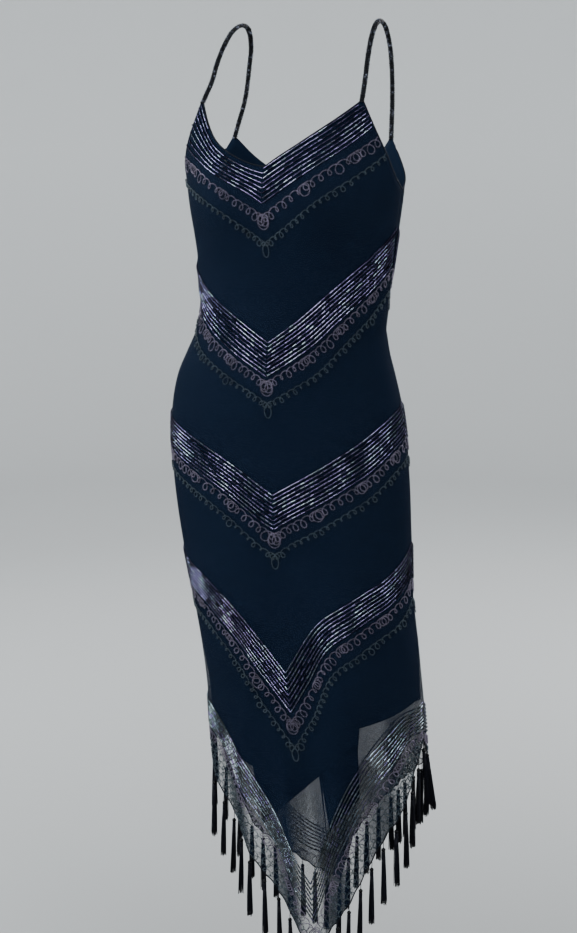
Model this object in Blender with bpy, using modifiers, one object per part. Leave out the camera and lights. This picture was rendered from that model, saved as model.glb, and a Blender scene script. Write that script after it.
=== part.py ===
"""Flapper dress on its worn form: a beaded net over a plain lining, hung from two straps.

Metres, +Z up. The front faces -Y and the wearer's left is +X. The origin is midway between
the places where the two straps rest on the shoulders.

A place on the dress is given by its girth place and its height. The girth place runs round
the body: 0 centre front, 1 left side seam, 2 centre back, 3 or -1 right side seam.
"""

import math
from collections import namedtuple

import bmesh
import bpy
import numpy as np
from mathutils import Matrix, Vector

# Walls and clearances
NET_WALL = 0.0012
LINING_WALL = 0.0010
SEAM_GAP = 0.0003
LINING_GAP_AT_EDGE = 0.0003
LINING_GAP_AT_BODY = 0.0016
LINING_GAP_AT_HEM = 0.0070
LINING_EASE_DEPTH = 0.060

# How finely the panels are cut into faces
HALF_COLUMNS = 11
UPPER_ROWS = 13
NET_LOWER_ROWS = 6
LINING_LOWER_ROWS = 3
KNEE_LEVEL = -0.860
COLUMNS_EVEN_FROM = 0.45
GIRTH_PER_PLACE = 0.215

# Straps
STRAP_WIDTH = 0.0070
STRAP_THICKNESS = 0.0024
STRAP_CROWN = 0.0005
STRAP_STEPS = 22
STRAP_END_RISE = 0.006
STRAP_SEAT_GAP = 0.0004

# Tassels: a thread, a bell cap that holds it, and the strands under the cap
TASSEL_THREAD_RADIUS = 0.0008
TASSEL_THREAD_ABOVE_HEM = 0.003
TASSEL_THREAD_GAP = 0.0005
TASSEL_CAP_TOP = 0.008
TASSEL_CAP_LENGTH = 0.012
TASSEL_CAP_TOP_RADIUS = 0.0017
TASSEL_CAP_RADIUS = 0.0034
TASSEL_LENGTH = 0.092
TASSEL_STRANDS = 5
STRAND_ROOT_RING = 0.0017
STRAND_END_RING = 0.0030
STRAND_ROOT_RADIUS = 0.0009
STRAND_END_RADIUS = 0.0013
STRAND_UNEVEN = 0.004
SIDE_TASSEL_PLACE = 0.985
TASSEL_SWING = math.radians(1.6)
TASSEL_LEANING = {"left_side_tassel": math.radians(-5), "back_tassel_01": math.radians(-8)}

# Rings of the body of the dress. turn is in degrees about +Z
Section = namedtuple("Section", "z centre_x centre_y half_width front back turn")
SECTIONS = [
    Section(-0.100, -0.0060, -0.020, 0.1560, 0.086, 0.078, 0.0),
    Section(-0.160, -0.0075, -0.023, 0.1600, 0.102, 0.092, 0.0),
    Section(-0.230, -0.0055, -0.026, 0.1520, 0.115, 0.100, 0.0),
    Section(-0.300, -0.0055, -0.026, 0.1425, 0.104, 0.093, 0.0),
    Section(-0.350, -0.0070, -0.026, 0.1370, 0.096, 0.084, 1.0),
    Section(-0.395, -0.0095, -0.026, 0.1345, 0.092, 0.080, 2.0),
    Section(-0.435, -0.0155, -0.026, 0.1430, 0.093, 0.087, 4.0),
    Section(-0.475, -0.0195, -0.026, 0.1560, 0.096, 0.098, 6.0),
    Section(-0.520, -0.0190, -0.026, 0.1650, 0.099, 0.110, 7.5),
    Section(-0.570, -0.0165, -0.026, 0.1690, 0.101, 0.120, 8.0),
    Section(-0.620, -0.0130, -0.026, 0.1695, 0.102, 0.124, 8.0),
    Section(-0.700, -0.0060, -0.026, 0.1670, 0.103, 0.120, 6.5),
    Section(-0.780, 0.0030, -0.026, 0.1620, 0.105, 0.114, 4.5),
    Section(-0.860, 0.0155, -0.026, 0.1600, 0.106, 0.110, 3.5),
    Section(-0.940, 0.0250, -0.026, 0.1580, 0.106, 0.108, 4.0),
    Section(-1.020, 0.0320, -0.026, 0.1540, 0.106, 0.106, 5.0),
    Section(-1.120, 0.0425, -0.026, 0.1500, 0.104, 0.104, 6.0),
    Section(-1.290, 0.0570, -0.026, 0.1450, 0.100, 0.100, 6.0),
]
EVEN_STEPS = 0.088

# Rounded parts of the front: two bust darts and the thighs under the skirt
Swell = namedtuple("Swell", "x z forward reach_x reach_z")
SWELLS = [
    Swell(-0.078, -0.225, 0.016, 0.050, 0.060),
    Swell(0.074, -0.225, 0.016, 0.050, 0.060),
    Swell(0.095, -0.900, 0.030, 0.055, 0.170),
    Swell(-0.060, -0.800, 0.010, 0.060, 0.150),
]

# Folds of the net's skirt, which open towards the hem. out is negative in a trough
Fold = namedtuple("Fold", "place z_top z_full out reach")
FOLDS = [
    Fold(-0.82, -0.90, -1.04, 0.0065, 0.075),
    Fold(-0.64, -0.90, -1.06, -0.0035, 0.080),
    Fold(-0.45, -0.92, -1.12, 0.0070, 0.075),
    Fold(-0.27, -0.96, -1.16, -0.0035, 0.070),
    Fold(-0.09, -0.93, -1.16, 0.0085, 0.070),
    Fold(0.09, -0.98, -1.20, -0.0055, 0.065),
    Fold(0.27, -0.98, -1.16, 0.0080, 0.075),
    Fold(0.46, -0.92, -1.10, -0.0030, 0.080),
    Fold(0.66, -0.90, -1.06, 0.0060, 0.085),
    Fold(0.86, -0.90, -1.02, -0.0025, 0.070),
    Fold(1.20, -0.88, -1.02, 0.0065, 0.080),
    Fold(1.44, -0.90, -1.06, -0.0035, 0.080),
    Fold(1.64, -0.90, -1.10, 0.0080, 0.080),
    Fold(1.86, -0.94, -1.14, -0.0040, 0.075),
    Fold(2.08, -0.92, -1.18, 0.0085, 0.080),
    Fold(2.32, -0.94, -1.14, -0.0040, 0.080),
    Fold(2.55, -0.90, -1.10, 0.0075, 0.085),
    Fold(2.78, -0.90, -1.04, -0.0030, 0.075),
]

# Top edges, one row a column of faces from the centre out to the side seam. Where two rows
# have one height is the tip that a strap is sewn to. The back is the same on both sides
Edge = namedtuple("Edge", "place right_z left_z")
FRONT_TOP = [
    Edge(0.000, -0.1850, -0.1850),
    Edge(0.095, -0.1815, -0.1710),
    Edge(0.190, -0.1745, -0.1580),
    Edge(0.285, -0.1650, -0.1440),
    Edge(0.380, -0.1515, -0.1300),
    Edge(0.475, -0.1300, -0.1155),
    Edge(0.565, -0.1035, -0.1015),
    Edge(0.595, -0.1035, -0.1015),
    Edge(0.690, -0.1510, -0.1390),
    Edge(0.790, -0.1860, -0.1720),
    Edge(0.895, -0.2050, -0.2000),
    Edge(1.000, -0.2160, -0.2160),
]
BACK_TOP = [
    Edge(0.000, -0.2360, -0.2360),
    Edge(0.110, -0.2270, -0.2270),
    Edge(0.220, -0.2150, -0.2150),
    Edge(0.330, -0.1990, -0.1990),
    Edge(0.450, -0.1780, -0.1780),
    Edge(0.565, -0.1520, -0.1520),
    Edge(0.595, -0.1520, -0.1520),
    Edge(0.640, -0.1660, -0.1660),
    Edge(0.720, -0.1830, -0.1830),
    Edge(0.810, -0.1970, -0.1970),
    Edge(0.905, -0.2080, -0.2080),
    Edge(1.000, -0.2160, -0.2160),
]
TIP_PLACE = 0.580

# Hem of the net and hem of the lining, which hangs in steps with a slit at each step
Corner = namedtuple("Corner", "place z")
NET_FRONT_HEM = [
    Corner(-1.00, -0.988),
    Corner(-0.80, -1.068),
    Corner(-0.60, -1.112),
    Corner(-0.40, -1.168),
    Corner(-0.20, -1.222),
    Corner(0.00, -1.283),
    Corner(0.20, -1.228),
    Corner(0.40, -1.163),
    Corner(0.60, -1.098),
    Corner(0.80, -1.050),
    Corner(1.00, -0.988),
]
NET_BACK_HEM = [
    Corner(1.00, -0.988),
    Corner(1.25, -1.040),
    Corner(1.50, -1.084),
    Corner(1.75, -1.134),
    Corner(1.95, -1.190),
    Corner(2.09, -1.262),
    Corner(2.30, -1.236),
    Corner(2.50, -1.208),
    Corner(2.70, -1.170),
    Corner(2.85, -1.105),
    Corner(3.00, -0.988),
]
LINING_FRONT_HEM = [
    Corner(-1.000, -0.965),
    Corner(-0.365, -1.021),
    Corner(-0.345, -1.103),
    Corner(0.465, -0.968),
    Corner(0.485, -0.943),
    Corner(1.000, -0.925),
]
LINING_BACK_HEM = [
    Corner(1.000, -0.925),
    Corner(1.840, -0.998),
    Corner(1.860, -1.125),
    Corner(2.160, -1.190),
    Corner(2.180, -1.070),
    Corner(3.000, -0.965),
]

# Points that each strap passes between its two tips, front to back
Way = namedtuple("Way", "x y z")
LEFT_STRAP_WAY = [
    Way(0.1098, -0.0700, -0.0740),
    Way(0.1098, -0.0610, -0.0480),
    Way(0.1085, -0.0440, -0.0200),
    Way(0.1068, -0.0220, -0.0010),
    Way(0.1052, 0.0010, 0.0055),
    Way(0.1045, 0.0240, -0.0010),
    Way(0.1052, 0.0400, -0.0220),
    Way(0.1070, 0.0460, -0.0550),
    Way(0.1085, 0.0450, -0.1000),
]
RIGHT_STRAP_WAY = [
    Way(-0.1130, -0.0720, -0.0760),
    Way(-0.1075, -0.0610, -0.0500),
    Way(-0.1025, -0.0440, -0.0250),
    Way(-0.0985, -0.0240, -0.0060),
    Way(-0.0950, -0.0010, 0.0020),
    Way(-0.0955, 0.0220, -0.0030),
    Way(-0.0985, 0.0380, -0.0230),
    Way(-0.1045, 0.0450, -0.0550),
    Way(-0.1115, 0.0450, -0.1000),
]
STRAP_ROLL = math.radians(14)

# Colours and finishes
Finish = namedtuple("Finish", "name colour roughness")
BEADED_NET = Finish("beaded_net", (0.012, 0.017, 0.030, 1.0), 0.50)
LINING_CLOTH = Finish("lining_cloth", (0.006, 0.010, 0.020, 1.0), 0.62)
BEADED_STRAP = Finish("beaded_strap", (0.006, 0.008, 0.012, 1.0), 0.30)
TASSEL_THREADS = Finish("tassel_threads", (0.004, 0.004, 0.006, 1.0), 0.70)


def through_table(rows, at):
    """Smooth curve through a table whose first column is the place, sloped as its neighbours are"""
    table = np.array(sorted(rows))
    places, values = table[:, 0], table[:, 1:]
    slopes = np.gradient(values, places, axis=0)
    at = np.clip(at, places[0], places[-1])
    low = int(np.clip(np.searchsorted(places, at) - 1, 0, len(places) - 2))
    step = places[low + 1] - places[low]
    s = (at - places[low]) / step
    start = (2 * s**3 - 3 * s**2 + 1) * values[low] + (s**3 - 2 * s**2 + s) * step * slopes[low]
    end = (3 * s**2 - 2 * s**3) * values[low + 1] + (s**3 - s**2) * step * slopes[low + 1]
    return start + end


def fold_out(place, z):
    """How far the folds of the skirt move the net outwards here"""
    place = (place + 1) % 4 - 1
    total = 0.0
    for fold in FOLDS:
        grown = np.clip((fold.z_top - z) / (fold.z_top - fold.z_full), 0, 1)
        grown = grown * grown * (3 - 2 * grown)
        total += fold.out * grown * math.exp(-(((place - fold.place) / fold.reach) ** 2))
    return total


def on_dress(place, z, out=0.0, folded=1.0):
    """Point of the dress's outer face, moved out along the ring's own outward direction"""
    centre_x, centre_y, half_width, front, back, turn = through_table(SECTIONS, z)
    angle = math.pi / 2 * place - EVEN_STEPS * math.sin(math.pi * place)
    sine, cosine = math.sin(angle), math.cos(angle)
    depth = front if cosine > 0 else back
    x = half_width * sine
    y = -depth * cosine
    for swell in SWELLS:
        near = ((x - swell.x) / swell.reach_x) ** 2 + ((z - swell.z) / swell.reach_z) ** 2
        y -= swell.forward * math.exp(-near) * min(max(2 * cosine, 0), 1)
    outward = Vector((depth * sine, -half_width * cosine, 0)).normalized()
    point = Vector((x, y, 0)) + outward * (out + folded * fold_out(place, z))
    point = Matrix.Rotation(math.radians(turn), 3, "Z") @ point
    return point + Vector((centre_x, centre_y, z))


def edge_row(table, column):
    """Place and height of the top edge at a column, counted from the centre and negative before it"""
    row = table[abs(column)]
    if column < 0:
        return -row.place, row.right_z
    return row.place, row.left_z


def hem_height(corners, place):
    """Height of a hem here, on the straight line between its two corners"""
    return float(np.interp(place, [corner.place for corner in corners], [corner.z for corner in corners]))


def even_places(centre):
    """Girth places of a panel's columns, evenly spaced between its seams"""
    inset = SEAM_GAP / 2 / GIRTH_PER_PLACE
    return centre + np.linspace(-1 + inset, 1 - inset, 2 * HALF_COLUMNS + 1)


def slit_places(centre, corners):
    """Even places, with the nearest free column moved to each side of a slit"""
    places = even_places(centre)
    free = list(range(1, len(places) - 1))
    for corner in corners[1:-1]:
        nearest = min(free, key=lambda column: abs(places[column] - corner.place))
        places[nearest] = corner.place
        free.remove(nearest)
    return places


def panel(name, centre, top, hem, hem_places, lower_rows, out_at, folded, wall, finish):
    """A panel of cloth: a grid laid on the dress from its top edge to its hem, with a wall inwards"""
    columns = 2 * HALF_COLUMNS
    rows = UPPER_ROWS + lower_rows
    evenly = even_places(centre)
    shape = bmesh.new()
    bmesh.ops.create_grid(shape, x_segments=columns, y_segments=rows, size=1)
    for vertex in shape.verts:
        column = round((vertex.co.x + 1) / 2 * columns)
        row = round((1 - vertex.co.y) / 2 * rows)
        offset, top_z = edge_row(top, column - HALF_COLUMNS)
        top_place = np.clip(centre + offset, evenly[0], evenly[-1])
        if row <= UPPER_ROWS:
            down = row / UPPER_ROWS
            place = top_place + (evenly[column] - top_place) * min(down / COLUMNS_EVEN_FROM, 1)
            z = top_z + (KNEE_LEVEL - top_z) * down
        else:
            down = (row - UPPER_ROWS) / lower_rows
            place = evenly[column] + (hem_places[column] - evenly[column]) * down
            z = KNEE_LEVEL + (hem_height(hem, hem_places[column]) - KNEE_LEVEL) * down
        vertex.co = on_dress(place, z, out_at(top_z, z), folded)
    return cloth_object(name, shape, wall, finish)


def cloth_object(name, shape, wall, finish):
    """Object from an open surface, which becomes the middle of its wall"""
    mesh = bpy.data.meshes.new(name)
    shape.to_mesh(mesh)
    shape.free()
    made = bpy.data.objects.new(name, mesh)
    dress.objects.link(made)
    mesh.materials.append(material_of(finish))
    mesh.shade_smooth()
    thickness = made.modifiers.new("wall", "SOLIDIFY")
    thickness.thickness = wall
    thickness.offset = 0
    return made


def material_of(finish):
    """The finish's own material, made the first time that it is asked for"""
    found = bpy.data.materials.get(finish.name)
    if found:
        return found
    made = bpy.data.materials.new(finish.name)
    made.use_nodes = True
    shader = made.node_tree.nodes["Principled BSDF"]
    shader.inputs["Base Color"].default_value = finish.colour
    shader.inputs["Roughness"].default_value = finish.roughness
    return made


def net_out(top_z, z):
    """Middle of the net's wall, whose outer face is the dress's own"""
    return -NET_WALL / 2


def lining_out(top_z, z):
    """The lining meets the net at the top edge, lies close to it, and hangs free under the skirt"""
    eased = min((top_z - z) / LINING_EASE_DEPTH, 1)
    gap = LINING_GAP_AT_EDGE + (LINING_GAP_AT_BODY - LINING_GAP_AT_EDGE) * eased
    hanging = np.clip((KNEE_LEVEL - z) / LINING_EASE_DEPTH, 0, 1)
    gap += (LINING_GAP_AT_HEM - LINING_GAP_AT_BODY) * hanging
    return -NET_WALL - gap - LINING_WALL / 2


def build_panels():
    """Front and back of the net, and front and back of the lining inside it"""
    sides = (
        ("front", 0, FRONT_TOP, NET_FRONT_HEM, LINING_FRONT_HEM),
        ("back", 2, BACK_TOP, NET_BACK_HEM, LINING_BACK_HEM),
    )
    for side, centre, top, net_hem, lining_hem in sides:
        places = even_places(centre)
        panel(f"{side}_net", centre, top, net_hem, places, NET_LOWER_ROWS, net_out, 1.0,
              NET_WALL, BEADED_NET)
        places = slit_places(centre, lining_hem)
        panel(f"{side}_lining", centre, top, lining_hem, places, LINING_LOWER_ROWS, lining_out, 0.0,
              LINING_WALL, LINING_CLOTH)


def strap_route(front_tip, way, back_tip):
    """Evenly numbered points from one sewn end to the other, rising straight from each tip"""
    rise = Vector((0, 0, STRAP_END_RISE))
    stops = [front_tip, front_tip + rise, *(Vector(point) for point in way), back_tip + rise, back_tip]
    run = np.cumsum([0] + [(b - a).length for a, b in zip(stops, stops[1:])])
    table = [(far, *stop) for far, stop in zip(run, stops)]
    return [Vector(through_table(table, far)) for far in np.linspace(0, run[-1], STRAP_STEPS + 1)]


def build_strap(name, side, way, front_z, back_z):
    """A flat strap with a crowned face, from the front tip over the shoulder to the back tip"""
    lift = STRAP_SEAT_GAP
    middle = -NET_WALL / 2
    front_tip = on_dress(side * TIP_PLACE, front_z, middle) + Vector((0, 0, lift))
    back_tip = on_dress(2 - side * TIP_PLACE, back_z, middle) + Vector((0, 0, lift))
    route = strap_route(front_tip, way, back_tip)
    shape = bmesh.new()
    bmesh.ops.create_grid(shape, x_segments=2, y_segments=STRAP_STEPS, size=1)
    for vertex in shape.verts:
        step = round((vertex.co.y + 1) / 2 * STRAP_STEPS)
        across = vertex.co.x
        before, after = route[max(step - 1, 0)], route[min(step + 1, STRAP_STEPS)]
        along = (after - before).normalized()
        if step in (0, STRAP_STEPS):
            along = Vector((0, 0, 1 if step == 0 else -1))
        shoulder = math.sin(math.pi * step / STRAP_STEPS) ** 2
        sideways = Matrix.Rotation(side * STRAP_ROLL * shoulder, 3, "Y") @ Vector((1, 0, 0))
        sideways = (sideways - along * sideways.dot(along)).normalized()
        facing = sideways.cross(along)
        crown = STRAP_CROWN * (1 - across * across)
        vertex.co = route[step] + sideways * across * STRAP_WIDTH / 2 + facing * crown
    return cloth_object(name, shape, STRAP_THICKNESS, BEADED_STRAP)


def build_straps():
    """Each strap is sewn to the tip of the front and to the tip of the back on its side"""
    tip = FRONT_TOP[6]
    back_z = BACK_TOP[6].left_z
    build_strap("left_strap", 1, LEFT_STRAP_WAY, tip.left_z, back_z)
    build_strap("right_strap", -1, RIGHT_STRAP_WAY, tip.right_z, back_z)


def scratch_object(name, shape):
    """A helper solid, left out of the dress"""
    mesh = bpy.data.meshes.new(name)
    shape.to_mesh(mesh)
    shape.free()
    made = bpy.data.objects.new(name, mesh)
    made.hide_render = True
    made.display_type = "WIRE"
    helpers.objects.link(made)
    return made


def tassel_mesh():
    """One tassel hanging from its own origin, the point at the hem: the strands join in the cap"""
    cap_bottom = -TASSEL_CAP_TOP - TASSEL_CAP_LENGTH
    bell = bmesh.new()
    place = Matrix.Translation((0, 0, cap_bottom + TASSEL_CAP_LENGTH / 2))
    bmesh.ops.create_cone(bell, cap_ends=True, segments=6, radius1=TASSEL_CAP_RADIUS,
                          radius2=TASSEL_CAP_TOP_RADIUS, depth=TASSEL_CAP_LENGTH, matrix=place)
    cap = scratch_object("tassel_cap", bell)

    threads = bmesh.new()
    top = TASSEL_THREAD_ABOVE_HEM
    length = top - cap_bottom - TASSEL_CAP_LENGTH / 2
    place = Matrix.Translation((0, 0, top - length / 2)) @ Matrix.Rotation(math.radians(45), 4, "Z")
    bmesh.ops.create_cone(threads, cap_ends=True, segments=4, radius1=TASSEL_THREAD_RADIUS,
                          radius2=TASSEL_THREAD_RADIUS, depth=length, matrix=place)
    thread = scratch_object("tassel_thread", threads)

    strands = bmesh.new()
    for number in range(TASSEL_STRANDS):
        turn = math.tau * number / TASSEL_STRANDS
        around = Vector((math.cos(turn), math.sin(turn), 0))
        root = around * STRAND_ROOT_RING + Vector((0, 0, cap_bottom + TASSEL_CAP_LENGTH / 4))
        shorter = STRAND_UNEVEN * (number * 2 % TASSEL_STRANDS) / TASSEL_STRANDS
        end = around * STRAND_END_RING + Vector((0, 0, shorter - TASSEL_LENGTH))
        hang = (root - end).normalized()
        lie = hang.to_track_quat("Z", "Y").to_matrix().to_4x4()
        place = Matrix.Translation((root + end) / 2) @ lie @ Matrix.Rotation(turn, 4, "Z")
        bmesh.ops.create_cone(strands, cap_ends=True, segments=3, radius1=STRAND_END_RADIUS,
                              radius2=STRAND_ROOT_RADIUS, depth=(root - end).length, matrix=place)
    strand_object = scratch_object("tassel_strands", strands)

    for part in (thread, strand_object):
        union = cap.modifiers.new("union", "BOOLEAN")
        union.operation = "UNION"
        union.solver = "EXACT"
        union.object = part
    bpy.context.view_layer.update()
    joined = cap.evaluated_get(bpy.context.evaluated_depsgraph_get())
    mesh = bpy.data.meshes.new_from_object(joined)
    for part in (cap, thread, strand_object):
        bpy.data.objects.remove(part)
    mesh.name = "tassel"
    mesh.materials.append(material_of(TASSEL_THREADS))
    return mesh


def hang_tassel(name, mesh, place, hem):
    """A tassel on the outer face of the net, its thread held flat against the hem"""
    made = bpy.data.objects.new(name, mesh)
    clear = TASSEL_THREAD_GAP + TASSEL_THREAD_RADIUS
    made.location = on_dress(place, hem_height(hem, place), clear)
    made.rotation_mode = "ZYX"
    lean = TASSEL_LEANING.get(name, TASSEL_SWING * math.sin(7 * place))
    made.rotation_euler = (0, lean, math.tau * (place * 3 % 1))
    dress.objects.link(made)


def build_tassels():
    """One tassel on every column of the net's hem, and one at each side seam"""
    mesh = tassel_mesh()
    for side, centre, hem in (("front", 0, NET_FRONT_HEM), ("back", 2, NET_BACK_HEM)):
        for number, place in enumerate(even_places(centre)[1:-1], start=1):
            hang_tassel(f"{side}_tassel_{number:02d}", mesh, place, hem)
    hang_tassel("right_side_tassel", mesh, -SIDE_TASSEL_PLACE, NET_FRONT_HEM)
    hang_tassel("left_side_tassel", mesh, SIDE_TASSEL_PLACE, NET_FRONT_HEM)


for old in list(bpy.data.objects):
    bpy.data.objects.remove(old)
dress = bpy.data.collections.new("flapper_dress")
helpers = bpy.data.collections.new("helpers")
bpy.context.scene.collection.children.link(dress)
bpy.context.scene.collection.children.link(helpers)

build_panels()
build_straps()
build_tassels()
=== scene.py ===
"""Flapper dress: beaded net over a plain lining, two beaded straps, tassels on a pointed hem.

Metres, +Z up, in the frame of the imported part. The front faces -Y, the wearer's left is +X.
A place on the dress is its girth place and its height: 0 centre front, 1 left side seam,
2 centre back, 3 or -1 right side seam.
"""

import math
from collections import namedtuple

import bpy
import numpy as np
from mathutils import Euler, Matrix, Vector


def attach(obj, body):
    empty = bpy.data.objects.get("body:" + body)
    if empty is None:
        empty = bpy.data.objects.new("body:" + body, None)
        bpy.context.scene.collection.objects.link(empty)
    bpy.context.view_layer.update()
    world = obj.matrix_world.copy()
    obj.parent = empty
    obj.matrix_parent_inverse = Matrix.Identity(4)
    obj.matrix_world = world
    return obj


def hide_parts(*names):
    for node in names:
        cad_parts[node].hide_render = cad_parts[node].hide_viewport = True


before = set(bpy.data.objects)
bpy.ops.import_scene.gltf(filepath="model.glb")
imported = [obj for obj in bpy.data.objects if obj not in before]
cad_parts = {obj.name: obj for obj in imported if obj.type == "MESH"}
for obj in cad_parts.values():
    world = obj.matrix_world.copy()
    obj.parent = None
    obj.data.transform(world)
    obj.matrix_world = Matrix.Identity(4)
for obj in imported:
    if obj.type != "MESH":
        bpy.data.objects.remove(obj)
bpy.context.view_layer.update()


# The lining is a plain crepe slip in navy black, front and back, sewn to the net along the top
# edge and the side seams. It hangs in steps, with a slit at each, and its hem is left clean.
# It and all that follows lie on one worn form, so the lining starts with that form's rings.
Ring = namedtuple("Ring", "z centre_x centre_y half_width front back turn")
RINGS = [
    Ring(-0.100, -0.0060, -0.020, 0.1560, 0.086, 0.078, 0.0),
    Ring(-0.160, -0.0075, -0.023, 0.1600, 0.102, 0.092, 0.0),
    Ring(-0.230, -0.0055, -0.026, 0.1520, 0.115, 0.100, 0.0),
    Ring(-0.300, -0.0055, -0.026, 0.1425, 0.104, 0.093, 0.0),
    Ring(-0.350, -0.0070, -0.026, 0.1370, 0.096, 0.084, 1.0),
    Ring(-0.395, -0.0095, -0.026, 0.1345, 0.092, 0.080, 2.0),
    Ring(-0.435, -0.0155, -0.026, 0.1430, 0.093, 0.087, 4.0),
    Ring(-0.475, -0.0195, -0.026, 0.1560, 0.096, 0.098, 6.0),
    Ring(-0.520, -0.0190, -0.026, 0.1650, 0.099, 0.110, 7.5),
    Ring(-0.570, -0.0165, -0.026, 0.1690, 0.101, 0.120, 8.0),
    Ring(-0.620, -0.0130, -0.026, 0.1695, 0.102, 0.124, 8.0),
    Ring(-0.700, -0.0060, -0.026, 0.1670, 0.103, 0.120, 6.5),
    Ring(-0.780, 0.0030, -0.026, 0.1620, 0.105, 0.114, 4.5),
    Ring(-0.860, 0.0155, -0.026, 0.1600, 0.106, 0.110, 3.5),
    Ring(-0.940, 0.0250, -0.026, 0.1580, 0.106, 0.108, 4.0),
    Ring(-1.020, 0.0320, -0.026, 0.1540, 0.106, 0.106, 5.0),
    Ring(-1.120, 0.0425, -0.026, 0.1500, 0.104, 0.104, 6.0),
    Ring(-1.290, 0.0570, -0.026, 0.1450, 0.100, 0.100, 6.0),
]
GIRTH_PER_PLACE = 0.215
# Spreads the girth places evenly along the flatter front and back of a ring
EVEN_STEPS = 0.088

# The bust and the thighs push the front outwards. The swells fade out towards the side seams
Swell = namedtuple("Swell", "x z forward reach_x reach_z")
SWELLS = [
    Swell(-0.078, -0.225, 0.016, 0.050, 0.060),
    Swell(0.074, -0.225, 0.016, 0.050, 0.060),
    Swell(0.095, -0.900, 0.030, 0.055, 0.170),
    Swell(-0.060, -0.800, 0.010, 0.060, 0.150),
]
SWELL_FADE = 2

# Skirt folds open towards the hem. out is negative in a trough
Fold = namedtuple("Fold", "place z_top z_full out reach")
FOLDS = [
    Fold(-0.82, -0.90, -1.04, 0.0065, 0.075),
    Fold(-0.64, -0.90, -1.06, -0.0035, 0.080),
    Fold(-0.45, -0.92, -1.12, 0.0070, 0.075),
    Fold(-0.27, -0.96, -1.16, -0.0035, 0.070),
    Fold(-0.09, -0.93, -1.16, 0.0085, 0.070),
    Fold(0.09, -0.98, -1.20, -0.0055, 0.065),
    Fold(0.27, -0.98, -1.16, 0.0080, 0.075),
    Fold(0.46, -0.92, -1.10, -0.0030, 0.080),
    Fold(0.66, -0.90, -1.06, 0.0060, 0.085),
    Fold(0.86, -0.90, -1.02, -0.0025, 0.070),
    Fold(1.20, -0.88, -1.02, 0.0065, 0.080),
    Fold(1.44, -0.90, -1.06, -0.0035, 0.080),
    Fold(1.64, -0.90, -1.10, 0.0080, 0.080),
    Fold(1.86, -0.94, -1.14, -0.0040, 0.075),
    Fold(2.08, -0.92, -1.18, 0.0085, 0.080),
    Fold(2.32, -0.94, -1.14, -0.0040, 0.080),
    Fold(2.55, -0.90, -1.10, 0.0075, 0.085),
    Fold(2.78, -0.90, -1.04, -0.0030, 0.075),
]

# Creases of the cloth on the body. along and across are how far each one
# reaches, lean is in degrees from level, and out is negative in a trough
Crease = namedtuple("Crease", "place z along across lean out")
CREASES = [
    Crease(-0.66, -0.292, 0.046, 0.008, 30, -0.0012),
    Crease(-0.74, -0.318, 0.050, 0.009, 22, 0.0013),
    Crease(0.64, -0.288, 0.044, 0.008, -28, -0.0011),
    Crease(0.76, -0.312, 0.052, 0.009, -20, 0.0012),
    Crease(-0.84, -0.372, 0.046, 0.007, 8, -0.0014),
    Crease(-0.78, -0.396, 0.056, 0.008, 4, 0.0016),
    Crease(-0.88, -0.424, 0.050, 0.008, -6, -0.0013),
    Crease(0.80, -0.366, 0.048, 0.007, -9, -0.0013),
    Crease(0.86, -0.392, 0.058, 0.008, -3, 0.0017),
    Crease(0.78, -0.420, 0.052, 0.009, 7, -0.0014),
    Crease(0.10, -0.438, 0.070, 0.010, 3, 0.0009),
    Crease(-0.22, -0.548, 0.080, 0.011, -12, 0.0010),
    Crease(0.34, -0.700, 0.110, 0.012, -34, 0.0013),
    Crease(-0.42, -0.690, 0.095, 0.012, 38, -0.0011),
    Crease(0.06, -0.780, 0.120, 0.012, -62, -0.0014),
    Crease(-0.30, -0.905, 0.110, 0.012, 74, 0.0015),
    Crease(0.16, -0.930, 0.100, 0.011, -78, -0.0016),
    Crease(0.78, -0.820, 0.095, 0.012, -70, 0.0013),
    Crease(1.14, -0.378, 0.050, 0.008, 8, 0.0015),
    Crease(1.22, -0.406, 0.060, 0.008, 2, -0.0014),
    Crease(1.70, -0.398, 0.070, 0.009, 5, 0.0014),
    Crease(1.92, -0.424, 0.085, 0.009, -3, -0.0015),
    Crease(2.16, -0.402, 0.075, 0.008, -5, 0.0015),
    Crease(2.70, -0.380, 0.052, 0.008, -7, -0.0013),
    Crease(2.82, -0.410, 0.060, 0.009, 2, 0.0014),
    Crease(1.62, -0.715, 0.080, 0.012, -18, -0.0012),
    Crease(2.36, -0.722, 0.085, 0.012, 16, 0.0012),
    Crease(1.80, -0.860, 0.120, 0.013, 80, 0.0014),
    Crease(2.22, -0.840, 0.120, 0.012, -76, -0.0013),
    Crease(2.62, -0.860, 0.110, 0.012, 72, 0.0012),
]

# Each panel's top edge runs from the centre up to the strap tip and down the armhole to the
# side seam. Two rows of one height are the tip, as wide as the strap sewn to it
Edge = namedtuple("Edge", "place right_z left_z")
FRONT_TOP = [
    Edge(0.000, -0.1850, -0.1850),
    Edge(0.095, -0.1815, -0.1710),
    Edge(0.190, -0.1745, -0.1580),
    Edge(0.285, -0.1650, -0.1440),
    Edge(0.380, -0.1515, -0.1300),
    Edge(0.475, -0.1300, -0.1155),
    Edge(0.565, -0.1035, -0.1015),
    Edge(0.595, -0.1035, -0.1015),
    Edge(0.690, -0.1510, -0.1390),
    Edge(0.790, -0.1860, -0.1720),
    Edge(0.895, -0.2050, -0.2000),
    Edge(1.000, -0.2160, -0.2160),
]
BACK_TOP = [Edge(place, z, z) for place, z in (
    (0.000, -0.2360), (0.110, -0.2270), (0.220, -0.2150), (0.330, -0.1990), (0.450, -0.1780),
    (0.565, -0.1520), (0.595, -0.1520), (0.640, -0.1660), (0.720, -0.1830), (0.810, -0.1970),
    (0.905, -0.2080), (1.000, -0.2160),
)]
TIP_STEPS = (6, 7)
HALF_STEPS = 11
COLUMNS_A_STEP = 4
COLUMNS_EVEN_FROM = 0.45
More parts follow.
